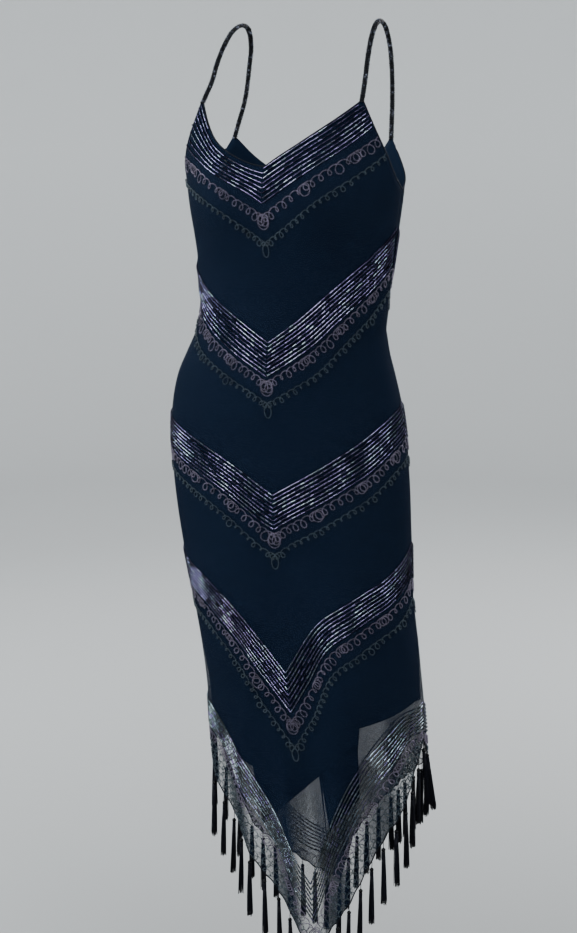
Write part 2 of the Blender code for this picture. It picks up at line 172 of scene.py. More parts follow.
SEAM_GAP = 0.0003
KNEE_LEVEL = -0.860
LEANING_STEP = 0.01

Spot = namedtuple("Spot", "place z")
Cut = namedtuple("Cut", "side centre top hem")
LINING_CUTS = [
    Cut("front", 0, FRONT_TOP, [
        Spot(-1.000, -0.965), Spot(-0.365, -1.021), Spot(-0.345, -1.103),
        Spot(0.465, -0.968), Spot(0.485, -0.943), Spot(1.000, -0.925),
    ]),
    Cut("back", 2, BACK_TOP, [
        Spot(1.000, -0.925), Spot(1.840, -0.998), Spot(1.860, -1.125),
        Spot(2.160, -1.190), Spot(2.180, -1.070), Spot(3.000, -0.965),
    ]),
]
NET_WALL = 0.0005
LINING_WALL = 0.0008
LINING_GAP_AT_EDGE = 0.0003
LINING_GAP_AT_BODY = 0.0004
LINING_GAP_AT_HEM = 0.0036
LINING_EASE_DEPTH = 0.060
LINING_FOLDED = 0.6
LINING_ROWS = (52, 14)


def through_table(rows, at):
    """Smooth curve through a table whose first column is the place, sloped as its neighbours are"""
    table = np.array(rows, float)
    table = table[np.argsort(table[:, 0])]
    places, values = table[:, 0], table[:, 1:]
    slopes = np.gradient(values, places, axis=0)
    at = np.clip(np.atleast_1d(at), places[0], places[-1])
    low = np.clip(np.searchsorted(places, at) - 1, 0, len(places) - 2)
    step = (places[low + 1] - places[low])[:, None]
    s = (at - places[low])[:, None] / step
    start = (2 * s**3 - 3 * s**2 + 1) * values[low] + (s**3 - 2 * s**2 + s) * step * slopes[low]
    end = (3 * s**2 - 2 * s**3) * values[low + 1] + (s**3 - s**2) * step * slopes[low + 1]
    return start + end


def unit(vectors):
    """The same directions, one metre long"""
    return vectors / np.maximum(np.linalg.norm(vectors, axis=-1, keepdims=True), 1e-12)


def fold_out(place, z):
    """How far the folds of the skirt move the net outwards"""
    place = (place + 1) % 4 - 1
    total = np.zeros_like(z)
    for fold in FOLDS:
        grown = np.clip((fold.z_top - z) / (fold.z_top - fold.z_full), 0, 1)
        grown = grown * grown * (3 - 2 * grown)
        total += fold.out * grown * np.exp(-(((place - fold.place) / fold.reach) ** 2))
    return total


def crease_out(place, z):
    """How far the creases of the worn cloth move it outwards"""
    total = np.zeros_like(z)
    for crease in CREASES:
        aside = ((place - crease.place + 2) % 4 - 2) * GIRTH_PER_PLACE
        above = z - crease.z
        lean = math.radians(crease.lean)
        along = (aside * math.cos(lean) + above * math.sin(lean)) / crease.along
        across = (above * math.cos(lean) - aside * math.sin(lean)) / crease.across
        total += crease.out * np.exp(-(along**2) - across**2)
    return total


def on_dress(place, z, out=0.0, folded=1.0):
    """Points of the dress's outer face, moved out along each ring's own outward direction"""
    place, z, out = np.broadcast_arrays(*(np.asarray(value, float) for value in (place, z, out)))
    shape = place.shape
    place, z, out = place.ravel(), z.ravel(), out.ravel()
    centre_x, centre_y, half_width, front, back, turn = through_table(RINGS, z).T
    angle = math.pi / 2 * place - EVEN_STEPS * np.sin(math.pi * place)
    sine, cosine = np.sin(angle), np.cos(angle)
    depth = np.where(cosine > 0, front, back)
    x = half_width * sine
    y = -depth * cosine
    for swell in SWELLS:
        near = ((x - swell.x) / swell.reach_x) ** 2 + ((z - swell.z) / swell.reach_z) ** 2
        y = y - swell.forward * np.exp(-near) * np.clip(SWELL_FADE * cosine, 0, 1)
    outward = unit(np.stack([depth * sine, -half_width * cosine], -1))
    out = out + folded * fold_out(place, z) + crease_out(place, z)
    x, y = x + outward[:, 0] * out, y + outward[:, 1] * out
    turn = np.radians(turn)
    turned_x = x * np.cos(turn) - y * np.sin(turn) + centre_x
    turned_y = x * np.sin(turn) + y * np.cos(turn) + centre_y
    return np.stack([turned_x, turned_y, z], -1).reshape(*shape, 3)


def columns(first, last, a_step):
    """Evenly spaced steps of a panel, this many columns to a whole step"""
    return np.linspace(first, last, (last - first) * a_step + 1)


def even_places(centre, steps):
    """Girth places of a panel at these steps, evenly spaced from the centre to its side seams"""
    inset = SEAM_GAP / 2 / GIRTH_PER_PLACE
    return centre + np.asarray(steps) / HALF_STEPS * (1 - inset)


def top_edge(cut, steps):
    """Place and height of a panel's top edge at these steps, negative before the centre"""
    steps = np.asarray(steps, float)
    rows = np.array([(number, *row) for number, row in enumerate(cut.top)])
    first, last = TIP_STEPS
    found = np.zeros((len(steps), 3))
    for piece in (rows[: first + 1], rows[first : last + 1], rows[last:]):
        inside = (np.abs(steps) >= piece[0, 0]) & (np.abs(steps) <= piece[-1, 0])
        found[inside] = through_table(piece, np.abs(steps[inside]))
    place = cut.centre + np.sign(steps) * found[:, 0]
    seams = even_places(cut.centre, [-HALF_STEPS, HALF_STEPS])
    # In front, steps before the centre are on the wearer's right. The back is the same on both
    height = np.where(steps < 0, found[:, 1], found[:, 2])
    return np.clip(place, *seams), height


def hem_height(hem, place):
    """Height of a hem, on the straight line between its two nearest corners"""
    return np.interp(place, [corner.place for corner in hem], [corner.z for corner in hem])


def in_scene(name, data):
    """A new object in the scene with this mesh, line, lamp or camera"""
    made = bpy.data.objects.new(name, data)
    bpy.context.scene.collection.objects.link(made)
    return made


def cloth_panel(name, cut, hem_places, hem_z, rows, out_at, folded, wall):
    """A panel of cloth from its top edge to its hem, with a map of its flat cut in metres"""
    steps = columns(-HALF_STEPS, HALF_STEPS, COLUMNS_A_STEP)
    evenly = even_places(cut.centre, steps)
    top_place, top_z = top_edge(cut, steps)
    down = np.linspace(0, 1, rows[0] + 1)[:, None]
    upper = top_place + (evenly - top_place) * np.minimum(down / COLUMNS_EVEN_FROM, 1)
    upper_z = top_z + (KNEE_LEVEL - top_z) * down
    down = np.linspace(0, 1, rows[1] + 1)[1:, None]
    lower = evenly + (hem_places - evenly) * down
    lower_z = KNEE_LEVEL + (hem_z - KNEE_LEVEL) * down
    place = np.concatenate([upper, lower])
    z = np.concatenate([upper_z, lower_z])
    points = on_dress(place, z, out_at(top_z, z), folded)
    number = np.arange(place.size).reshape(place.shape)
    faces = np.stack([number[1:, :-1], number[1:, 1:], number[:-1, 1:], number[:-1, :-1]], -1)
    mesh = bpy.data.meshes.new(name)
    mesh.from_pydata(points.reshape(-1, 3).tolist(), [], faces.reshape(-1, 4).tolist())
    place, z = place.ravel(), z.ravel()
    flat = mesh.uv_layers.new(name="flat_cut")
    corners = np.zeros(len(mesh.loops), np.int32)
    mesh.loops.foreach_get("vertex_index", corners)
    flat_cut = np.stack([place * GIRTH_PER_PLACE, z], -1)[corners]
    flat.data.foreach_set("uv", flat_cut.ravel().astype(np.float32))
    # How steeply the folds lean at each point, which sets the net's painted shade on its folds
    slope = fold_out(place + LEANING_STEP, z) - fold_out(place - LEANING_STEP, z)
    leaning = mesh.attributes.new("leaning", "FLOAT", "POINT")
    leaning.data.foreach_set("value", (slope / (2 * LEANING_STEP * GIRTH_PER_PLACE)).astype(np.float32))
    mesh.shade_smooth()
    made = in_scene(name, mesh)
    thickness = made.modifiers.new("wall", "SOLIDIFY")
    thickness.thickness = wall
    thickness.offset = 0
    return made


def lining_out(top_z, z):
    """The lining meets the net at the top edge, lies close to it, and hangs free under the skirt"""
    eased = np.minimum((top_z - z) / LINING_EASE_DEPTH, 1)
    gap = LINING_GAP_AT_EDGE + (LINING_GAP_AT_BODY - LINING_GAP_AT_EDGE) * eased
    hanging = np.clip((KNEE_LEVEL - z) / LINING_EASE_DEPTH, 0, 1)
    gap = gap + (LINING_GAP_AT_HEM - LINING_GAP_AT_BODY) * hanging
    return -NET_WALL - gap - LINING_WALL / 2


def slit_places(cut):
    """Even places, with the nearest free column moved to each side of a slit"""
    whole = np.arange(-HALF_STEPS, HALF_STEPS + 1)
    places = even_places(cut.centre, whole)
    free = list(range(1, len(places) - 1))
    for corner in cut.hem[1:-1]:
        nearest = min(free, key=lambda column: abs(places[column] - corner.place))
        places[nearest] = corner.place
        free.remove(nearest)
    return np.interp(columns(-HALF_STEPS, HALF_STEPS, COLUMNS_A_STEP), whole, places)


def feed(tree, node, inputs):
    """Gives each of these inputs of a node its value, or links it to a socket"""
    for label, value in inputs.items():
        if isinstance(value, bpy.types.NodeSocket):
            tree.links.new(value, node.inputs[label])
        else:
            node.inputs[label].default_value = value


def add_node(tree, kind, inputs=None, **settings):
    """The outputs of a new node with these settings and inputs"""
    node = tree.nodes.new("ShaderNode" + kind)
    for label, value in settings.items():
        setattr(node, label, value)
    feed(tree, node, inputs or {})
    return node.outputs


def worked_out(tree, operation, *values, **settings):
    """The result of a sum on these values or sockets"""
    return add_node(tree, "Math", dict(enumerate(values)), operation=operation, **settings)[0]


def new_material(name, finish):
    """A material whose shader has this finish, given back with its nodes and the shader"""
    made = bpy.data.materials.new(name)
    made.use_nodes = True
    shader = made.node_tree.nodes["Principled BSDF"]
    feed(made.node_tree, shader, finish)
    return made, made.node_tree, shader


def two_tones(tree, place, scale, detail, dark, light):
    """A colour that wanders between two, and the noise that it wanders by"""
    noise = add_node(tree, "TexNoise", {"Vector": place, "Scale": scale, "Detail": detail})["Fac"]
    inputs = {"Factor": noise, "A": (*dark, 1), "B": (*light, 1)}
    return add_node(tree, "Mix", inputs, data_type="RGBA")["Result"], noise


def thread_lattice():
    """Node group: a mask of two families of fine threads that cross, which is their height too"""
    group = bpy.data.node_groups.new("thread_lattice", "ShaderNodeTree")
    for label, kind in (("Cut", "Vector"), ("Pitch", "Float"), ("Slant", "Float")):
        group.interface.new_socket(label, in_out="INPUT", socket_type="NodeSocket" + kind)
    group.interface.new_socket("Threads", in_out="OUTPUT", socket_type="NodeSocketFloat")
    given = group.nodes.new("NodeGroupInput").outputs
    inputs = {"Vector": given["Cut"], "Angle": given["Slant"]}
    turned = add_node(group, "VectorRotate", inputs, rotation_type="Z_AXIS")["Vector"]
    apart = add_node(group, "SeparateXYZ", {"Vector": turned})
    waves = []
    for axis in "XY":
        turns = worked_out(group, "DIVIDE", apart[axis], given["Pitch"])
        wave = worked_out(group, "SINE", worked_out(group, "MULTIPLY", turns, math.pi))
        waves.append(worked_out(group, "ABSOLUTE", wave))
    inputs = {"Value": worked_out(group, "MINIMUM", *waves), "From Min": 0.08, "From Max": 0.62,
              "To Min": 1.0, "To Max": 0.0}
    thread = add_node(group, "MapRange", inputs, interpolation_type="SMOOTHSTEP")["Result"]
    feed(group, group.nodes.new("NodeGroupOutput"), {"Threads": thread})
    return group


def woven(name, pitch, slant, tones, finish):
    """Cloth of two crossed families of threads, with a slow change of tone over its flat cut"""
    made, tree, shader = new_material(name, finish)
    flat = add_node(tree, "UVMap", uv_map="flat_cut")["UV"]
    inputs = {"Cut": flat, "Pitch": pitch, "Slant": slant}
    threads = add_node(tree, "Group", inputs, node_tree=lattice)["Threads"]
    feed(tree, shader, {"Base Color": two_tones(tree, flat, **tones)[0]})
    return made, tree, shader, threads


def raised(tree, shader, height, strength, distance):
    """Bumps the shader's surface by this height"""
    inputs = {"Height": height, "Strength": strength, "Distance": distance}
    feed(tree, shader, {"Normal": add_node(tree, "Bump", inputs)["Normal"]})


lattice = thread_lattice()
crepe, tree, shader, threads = woven(
    "lining_crepe", pitch=0.0007, slant=0.0,
    tones={"scale": 9.0, "detail": 3.0,
           "dark": (0.0018, 0.0052, 0.0132), "light": (0.0034, 0.0082, 0.0192)},
    finish={"Roughness": 0.85, "Specular IOR Level": 0.06, "Sheen Weight": 0.01, "Sheen Roughness": 0.45,
            "Sheen Tint": (0.35, 0.50, 0.75, 1)},
)
raised(tree, shader, threads, strength=0.15, distance=0.0001)
for cut in LINING_CUTS:
    hem_places = slit_places(cut)
    lining = cloth_panel(f"{cut.side}_lining_cloth", cut, hem_places, hem_height(cut.hem, hem_places),
                         LINING_ROWS, lining_out, LINING_FOLDED, LINING_WALL)
    lining.data.materials.append(crepe)
    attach(lining, "root")
    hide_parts(f"{cut.side}_lining")


# The net is the outer dress: a fine sheer navy mesh, front and back, cut to a point at the hem
# and joined at the side seams. Its hem sags a little between the tassels that are sewn to it.
NET_CUTS = [
    Cut("front", 0, FRONT_TOP, [
        Spot(-1.00, -0.988), Spot(-0.80, -1.068), Spot(-0.60, -1.112), Spot(-0.40, -1.168),
        Spot(-0.20, -1.222), Spot(0.00, -1.283), Spot(0.20, -1.228), Spot(0.40, -1.163),
        Spot(0.60, -1.098), Spot(0.80, -1.050), Spot(1.00, -0.988),
    ]),
    Cut("back", 2, BACK_TOP, [
        Spot(1.00, -0.988), Spot(1.25, -1.040), Spot(1.50, -1.084), Spot(1.75, -1.134),
        Spot(1.95, -1.190), Spot(2.09, -1.262), Spot(2.30, -1.236), Spot(2.50, -1.208),
        Spot(2.70, -1.170), Spot(2.85, -1.105), Spot(3.00, -0.988),
    ]),
]
NET_ROWS = (78, 30)
SCALLOP_RISE = 0.0030
MOST_LEANING = 0.45
FOLD_SHADE_COVER = 0.28


def net_out(top_z, z):
    """Middle of the net's thin wall, whose outer face is the dress's own"""
    return np.full_like(z, -NET_WALL / 2)


def scalloped_hem(cut, steps):
    """Places and heights of the net's hem, lowest where a tassel pulls at each whole step"""
    places = even_places(cut.centre, steps)
    rise = SCALLOP_RISE * np.sin(math.pi * np.asarray(steps)) ** 2
    return places, hem_height(cut.hem, places) + rise


# The net's gaps are see-through. On one side of every fold they close up and on the other they open,
# so one side is darker: painted shade on the folds
net_mesh, tree, shader, threads = woven(
    "sheer_net", pitch=0.0009, slant=math.radians(45),
    tones={"scale": 14.0, "detail": 4.0,
           "dark": (0.0024, 0.0058, 0.0150), "light": (0.0043, 0.0094, 0.0218)},
    finish={"Roughness": 0.80, "Specular IOR Level": 0.05, "Sheen Weight": 0.01, "Sheen Roughness": 0.40,
            "Sheen Tint": (0.45, 0.55, 0.75, 1)},
)
cover = add_node(tree, "MapRange", {"Value": threads, "To Min": 0.34, "To Max": 0.74})["Result"]
leaning = add_node(tree, "Attribute", attribute_name="leaning")["Fac"]
painted_fold_shade = add_node(tree, "MapRange", {
    "Value": leaning, "From Min": -MOST_LEANING, "From Max": MOST_LEANING,
    "To Min": -FOLD_SHADE_COVER, "To Max": FOLD_SHADE_COVER,
})["Result"]
feed(tree, shader, {"Alpha": worked_out(tree, "ADD", cover, painted_fold_shade, use_clamp=True)})
for cut in NET_CUTS:
    hem = scalloped_hem(cut, columns(-HALF_STEPS, HALF_STEPS, COLUMNS_A_STEP))
    net = cloth_panel(f"{cut.side}_net_cloth", cut, *hem, NET_ROWS, net_out, 1.0, NET_WALL)
    net.data.materials.append(net_mesh)
    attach(net, "root")
    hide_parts(f"{cut.side}_net")


# A black corded edge is sewn round the neck, the armholes and the whole hem. It is a twisted
# cord as thick as a matchstick, laid on the edge of the net and stitched over.
CORD_RADIUS = 0.0009
CORD_POINTS_A_STEP = 12
CAD_NET_WALL = 0.0012


def sewn_cord(name, points):
    """A thin tube along these points, closed at both ends, as a mesh"""
    line = bpy.data.curves.new(name, "CURVE")
    line.dimensions = "3D"
    line.bevel_depth = CORD_RADIUS
    line.bevel_resolution = 1
    line.use_fill_caps = True
    spline = line.splines.new("POLY")
    spline.points.add(len(points) - 1)
    spline.points.foreach_set("co", np.column_stack([points, np.ones(len(points))]).ravel())
    scratch = in_scene(name, line)
    graph = bpy.context.evaluated_depsgraph_get()
    mesh = bpy.data.meshes.new_from_object(scratch.evaluated_get(graph))
    bpy.data.objects.remove(scratch)
    mesh.name = name
    mesh.materials.clear()
    mesh.materials.append(black_cord)
    mesh.shade_smooth()
    return in_scene(name, mesh)


# Black rayon, with a twist that catches a little light
black_cord, tree, shader = new_material("black_cord", {"Roughness": 0.60, "Specular IOR Level": 0.15})
place = add_node(tree, "TexCoord")["Object"]
colour, twist = two_tones(tree, place, scale=900.0, detail=2.0,
                          dark=(0.0010, 0.0014, 0.0026), light=(0.0040, 0.0050, 0.0080))
feed(tree, shader, {"Base Color": colour})
raised(tree, shader, twist, strength=0.5, distance=0.0002)
cords = {"front": [], "back": []}
for cut in NET_CUTS:
    first, last = TIP_STEPS
    for label, start, end in (("neck", -first, first), ("one_armhole", -HALF_STEPS, -last),
                              ("other_armhole", last, HALF_STEPS)):
        place, z = top_edge(cut, columns(start, end, CORD_POINTS_A_STEP))
        points = on_dress(place, z, -CAD_NET_WALL / 2)
        cords[cut.side].append(sewn_cord(f"{cut.side}_{label}_cord", points))
    place, z = scalloped_hem(cut, columns(-HALF_STEPS, HALF_STEPS, CORD_POINTS_A_STEP))
    points = on_dress(place, z, -NET_WALL / 2)
    cords[cut.side].append(sewn_cord(f"{cut.side}_hem_cord", points))
    for cord in cords[cut.side]:
        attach(cord, "root")


# Five chevron bands of glass bugles are sewn to the net, eight or nine rows to a band. Each row
# is a thread of cut glass tubes that runs with the band from the centre to the side seam.
BUGLE_LENGTH = 0.0060
BUGLE_RADIUS = 0.00105
BUGLE_SIDES = 8
BUGLE_PITCH = 0.0072
BUGLE_LIFT = 0.0001
BUGLE_LEAN = 0.022
ROWS_IN_BAND = {"neck": 8, "waist": 9, "hip": 9, "thigh": 8, "hem": 8}
ROW_PITCH = 0.0049
FIRST_ROW = 0.35
FIRST_BUGLE = 0.55
FIRST_BUGLE_VARIES = 0.2
MOST_DROP = 1.62
DROP_EVENED_OVER = 41
MITRE_REACH = 0.06
LINE_FINENESS = 0.002
EDGE_MARGIN = 0.0022
EDGE_POINTS_A_STEP = 16
LOOK_AROUND = 0.002

# The tint goes from violet at the neck to silver green at the hem. The paler silver green of the
# thigh and hem is partly painted sheen, for the iridescent glints the light gives them there. Along a
# row it drifts in slow waves, it changes from bead to bead, and thin films on the glass make it
# rougher or smoother
BAND_TINT_AND_PAINTED_SHEEN = {"neck": 0.36, "waist": 0.36, "hip": 0.38, "thigh": 0.46, "hem": 0.80}
SMOOTHEST = 0.75
ROUGHEST = 1.35
DRIFT = 0.14
DRIFT_A_METRE = 23
DRIFT_A_ROW = 0.9
BEAD_TO_BEAD = 0.24

# The neck's lines splay from the neck edge to straight arms, so each has heights of its own
NeckPoint = namedtuple("NeckPoint", "place z last_row upper_scroll lower_scroll")
NECK_LINES_BELOW = (0.0, 0.0360, 0.0495, 0.0810)


def quarters(first, *heights):
    """Points of a band's top line at every quarter of a girth place, from this place on"""
    return [Spot(first + number / 4, z) for number, z in enumerate(heights)]


FRONT_BANDS = {
    "neck": [
        NeckPoint(-0.80, -0.0500, -0.1450, -0.1720, -0.2060),
        NeckPoint(-0.70, -0.0720, -0.1590, -0.1775, -0.2115),
        NeckPoint(-0.58, -0.1015, -0.1720, -0.1845, -0.2185),
        NeckPoint(-0.475, -0.1300, -0.1820, -0.1940, -0.2265),
        NeckPoint(-0.38, -0.1515, -0.1920, -0.2050, -0.2360),
        NeckPoint(-0.285, -0.1650, -0.2010, -0.2145, -0.2470),
        NeckPoint(-0.19, -0.1745, -0.2105, -0.2260, -0.2590),
        NeckPoint(-0.095, -0.1815, -0.2200, -0.2365, -0.2710),
        NeckPoint(0.0, -0.1850, -0.2320, -0.2475, -0.2840),
        NeckPoint(0.19, -0.1580, -0.2060, -0.2205, -0.2575),
        NeckPoint(0.38, -0.1300, -0.1780, -0.1920, -0.2275),
        NeckPoint(0.58, -0.0995, -0.1455, -0.1630, -0.1975),
        NeckPoint(0.70, -0.0820, -0.1250, -0.1460, -0.1790),
        NeckPoint(0.80, -0.0660, -0.1080, -0.1310, -0.1630),
    ],
    "waist": quarters(-1, -0.305, -0.334, -0.364, -0.391, -0.418, -0.383, -0.341, -0.301, -0.263),
    "hip": quarters(-1, -0.526, -0.539, -0.559, -0.587, -0.625, -0.594, -0.561, -0.528, -0.506),
    "thigh": quarters(-1, -0.722, -0.736, -0.757, -0.799, -0.871, -0.802, -0.766, -0.737, -0.702),
    "hem": quarters(-1, -0.937, -0.948, -0.988, -1.070, -1.178, -1.064, -0.988, -0.942, -0.930),
}
BACK_BANDS = {
    "neck": [
        Spot(1.20, -0.0980), Spot(1.42, -0.1500), Spot(1.55, -0.1780), Spot(1.67, -0.1990),
        Spot(1.78, -0.2150), Spot(1.89, -0.2270), Spot(2.0, -0.2360), Spot(2.11, -0.2270),
        Spot(2.22, -0.2150), Spot(2.33, -0.1990), Spot(2.45, -0.1780), Spot(2.58, -0.1500),
        Spot(2.80, -0.0980),
    ],
    "waist": quarters(1, -0.263, -0.300, -0.338, -0.380, -0.416, -0.388, -0.362, -0.333, -0.305),
    "hip": quarters(1, -0.506, -0.530, -0.560, -0.592, -0.626, -0.594, -0.566, -0.544, -0.526),
    "thigh": quarters(1, -0.702, -0.735, -0.768, -0.806, -0.868, -0.806, -0.768, -0.742, -0.722),
    "hem": [
        Spot(1.0, -0.930), Spot(1.25, -0.955), Spot(1.5, -0.985), Spot(1.75, -1.044),
        Spot(1.95, -1.112), Spot(2.09, -1.190), Spot(2.30, -1.164), Spot(2.50, -1.124),
        Spot(2.70, -1.062), Spot(2.85, -0.998), Spot(3.0, -0.937),
    ],
}
BANDS = [
    (cut, label, points)
    for cut, bands in zip(NET_CUTS, (FRONT_BANDS, BACK_BANDS))
    for label, points in bands.items()
]


def drops(place, z):
    """How far down each metre of distance below a sloping line is, evened out along the line"""
    slope = np.gradient(z, place) / GIRTH_PER_PLACE
    padded = np.pad(slope, DROP_EVENED_OVER // 2, mode="edge")
    even = np.convolve(padded, np.ones(DROP_EVENED_OVER) / DROP_EVENED_OVER, mode="valid")
    return np.minimum(np.sqrt(1 + even**2), MOST_DROP)


def line_below(points, number, distance):
    """Places and heights of a line this far below a half band's top, from the tip out"""
    tip = min(points, key=lambda point: point.z)
    before = [point for point in points if point.place <= tip.place]
    after = [point for point in points if point.place >= tip.place]
    halves = []
    for half, far in ((before, before[0].place), (after, after[-1].place)):
        count = int(abs(far - tip.place) / LINE_FINENESS) + 1
        place = np.linspace(tip.place, far, count)
        halves.append((place, through_table(half, place)))
    place, heights = halves[number]
    if heights.shape[1] > 1:
        return place, np.array([np.interp(distance, NECK_LINES_BELOW, row) for row in heights])
    mitre = sum(drops(at, z[:, 0])[0] for at, z in halves) / 2
    drop = drops(place, heights[:, 0])
    drop += (mitre - drop[0]) * np.exp(-(((place - place[0]) / MITRE_REACH) ** 2))
    return place, heights[:, 0] - distance * drop


def holds(cut, place, z, margin=EDGE_MARGIN):
    """Where a line is on the cloth of a panel, clear of its edges by the margin"""
    edge_place, edge_z = top_edge(cut, columns(-HALF_STEPS, HALF_STEPS, EDGE_POINTS_A_STEP))
    under = z < np.interp(place, edge_place, edge_z) - margin
    over = z > hem_height(cut.hem, place) + margin
    inside = np.abs(place - cut.centre) < 1 - margin / GIRTH_PER_PLACE
    return under & over & inside


def how_far(points):
    """How far along its line each of these points is"""
    return np.concatenate([[0], np.cumsum(np.linalg.norm(np.diff(points, axis=0), axis=1))])


def along_line(place, z, out, pitch, start):
    """Evenly spaced places and heights on a line of the dress, and how far along it they are"""
    run = how_far(on_dress(place, z, out))
    at = np.arange(start, run[-1], pitch)
    return np.interp(at, run, place), np.interp(at, run, z), at


def facing(place, z):
    """The dress's outward direction at these places, square to its folds and creases"""
    across = on_dress(place + LOOK_AROUND, z) - on_dress(place - LOOK_AROUND, z)
    up = on_dress(place, z + LOOK_AROUND) - on_dress(place, z - LOOK_AROUND)
    return unit(np.cross(across, up))


def turns_from(along, outward):
    """Turned axes for each bead: X along its thread, Z away from the cloth"""
    along = unit(along)
    outward = unit(outward - along * np.sum(along * outward, axis=-1, keepdims=True))
    return np.stack([along, np.cross(outward, along), outward], -1)


Model = namedtuple("Model", "points corners starts sharp")


def read_model(scratch):
    """The points and faces of a modelled bead, whose own object is then removed"""
    mesh = scratch.data
    points = np.array([vertex.co for vertex in mesh.vertices])
    corners = np.array([loop.vertex_index for loop in mesh.loops])
    starts = np.array([face.loop_start for face in mesh.polygons])
    sharp = np.zeros((len(points), len(points)), bool)
    for edge in mesh.edges:
        one, other = edge.vertices
        sharp[one, other] = sharp[other, one] = edge.use_edge_sharp
    bpy.data.objects.remove(scratch)
    bpy.data.meshes.remove(mesh)
    return Model(points, corners, starts, sharp)


def joined_copies(name, model, turns, places, tints, material):
    """One mesh of many copies of a modelled piece, each turned and placed, with its own tint"""
    numbers = np.arange(len(places))[:, None]
    points = np.einsum("nij,vj->nvi", turns, model.points) + places[:, None, :]
    corners = (model.corners + numbers * len(model.points)).ravel()
    starts = (model.starts + numbers * len(model.corners)).ravel()
    mesh = bpy.data.meshes.new(name)
    mesh.vertices.add(len(places) * len(model.points))
    mesh.vertices.foreach_set("co", points.ravel().astype(np.float32))
    mesh.loops.add(len(corners))
    mesh.loops.foreach_set("vertex_index", corners.astype(np.int32))
    mesh.polygons.add(len(starts))
    mesh.polygons.foreach_set("loop_start", starts.astype(np.int32))
    mesh.update(calc_edges=True)
    tint = mesh.attributes.new("tint", "FLOAT", "POINT")
    tint.data.foreach_set("value", np.repeat(tints, len(model.points)).astype(np.float32))
    mesh.shade_smooth()
    if model.sharp.any():
        ends = np.zeros(2 * len(mesh.edges), np.int32)
        mesh.edges.foreach_get("vertices", ends)
        ends = ends.reshape(-1, 2) % len(model.points)
        sharp = mesh.attributes.new("sharp_edge", "BOOLEAN", "EDGE")
        sharp.data.foreach_set("value", model.sharp[ends[:, 0], ends[:, 1]])
    mesh.materials.append(material)
    return in_scene(name, mesh)


def nothing_selected():
    """Deselects everything, so that an operator acts on the new piece alone"""
    bpy.ops.object.select_all(action="DESELECT")


def cut_bugle():
    """A glass tube along X, cut square at both ends"""
    nothing_selected()
    bpy.ops.mesh.primitive_cylinder_add(vertices=BUGLE_SIDES, radius=BUGLE_RADIUS, depth=BUGLE_LENGTH,
                                        rotation=(0, math.radians(90), 0))
    bpy.ops.object.transform_apply(location=True, rotation=True, scale=True)
    bpy.ops.object.shade_smooth_by_angle(angle=math.radians(60))
    return read_model(bpy.context.object)


def ramp(tree, share, stops):
    """A colour that goes through these stops, each a position and a colour"""
    node = tree.nodes.new("ShaderNodeValToRGB")
    marks = node.color_ramp.elements
    while len(marks) < len(stops):
        marks.new(0.5)
    for mark, (position, colour) in zip(marks, stops):
        mark.position = position
        mark.color = (*colour, 1)
    feed(tree, node, {"Fac": share})
    return node.outputs["Color"]


def bead_glass(name, colours, roughness, finish):
    """Coloured glass with a metal lustre: its colour goes from bead to bead with the tint"""
    made, tree, shader = new_material(name, {"Coat Roughness": 0.12, **finish})
    tint = add_node(tree, "Attribute", attribute_name="tint")["Fac"]
    stops = [(number / (len(colours) - 1), colour) for number, colour in enumerate(colours)]
    inputs = {"Vector": add_node(tree, "TexCoord")["Object"], "Scale": 60.0, "Detail": 3.0}
    film = add_node(tree, "TexNoise", inputs)["Fac"]
    inputs = {"Value": film, "From Min": 0.3, "From Max": 0.7, "To Min": 0.55, "To Max": 1.25}
    shade = add_node(tree, "MapRange", inputs)["Result"]
    inputs = {"Factor": 1.0, "A": ramp(tree, tint, stops), "B": shade}
    colour = add_node(tree, "Mix", inputs, data_type="RGBA", blend_type="MULTIPLY")["Result"]
    inputs = {"Value": film, "To Min": roughness * SMOOTHEST, "To Max": roughness * ROUGHEST}
    rough = add_node(tree, "MapRange", inputs)["Result"]
    feed(tree, shader, {"Base Color": colour, "Roughness": rough})
    return made


bugle = cut_bugle()
# Its silver green stop, where the hem band sits, is partly painted sheen
bugle_glass = bead_glass("iridescent_bugles", [
    (0.030, 0.026, 0.055), (0.120, 0.105, 0.205), (0.280, 0.250, 0.430),
    (0.260, 0.265, 0.370), (0.360, 0.440, 0.490), (0.190, 0.225, 0.240),
], roughness=0.19, finish={"Metallic": 1.0, "Coat Weight": 0.0})

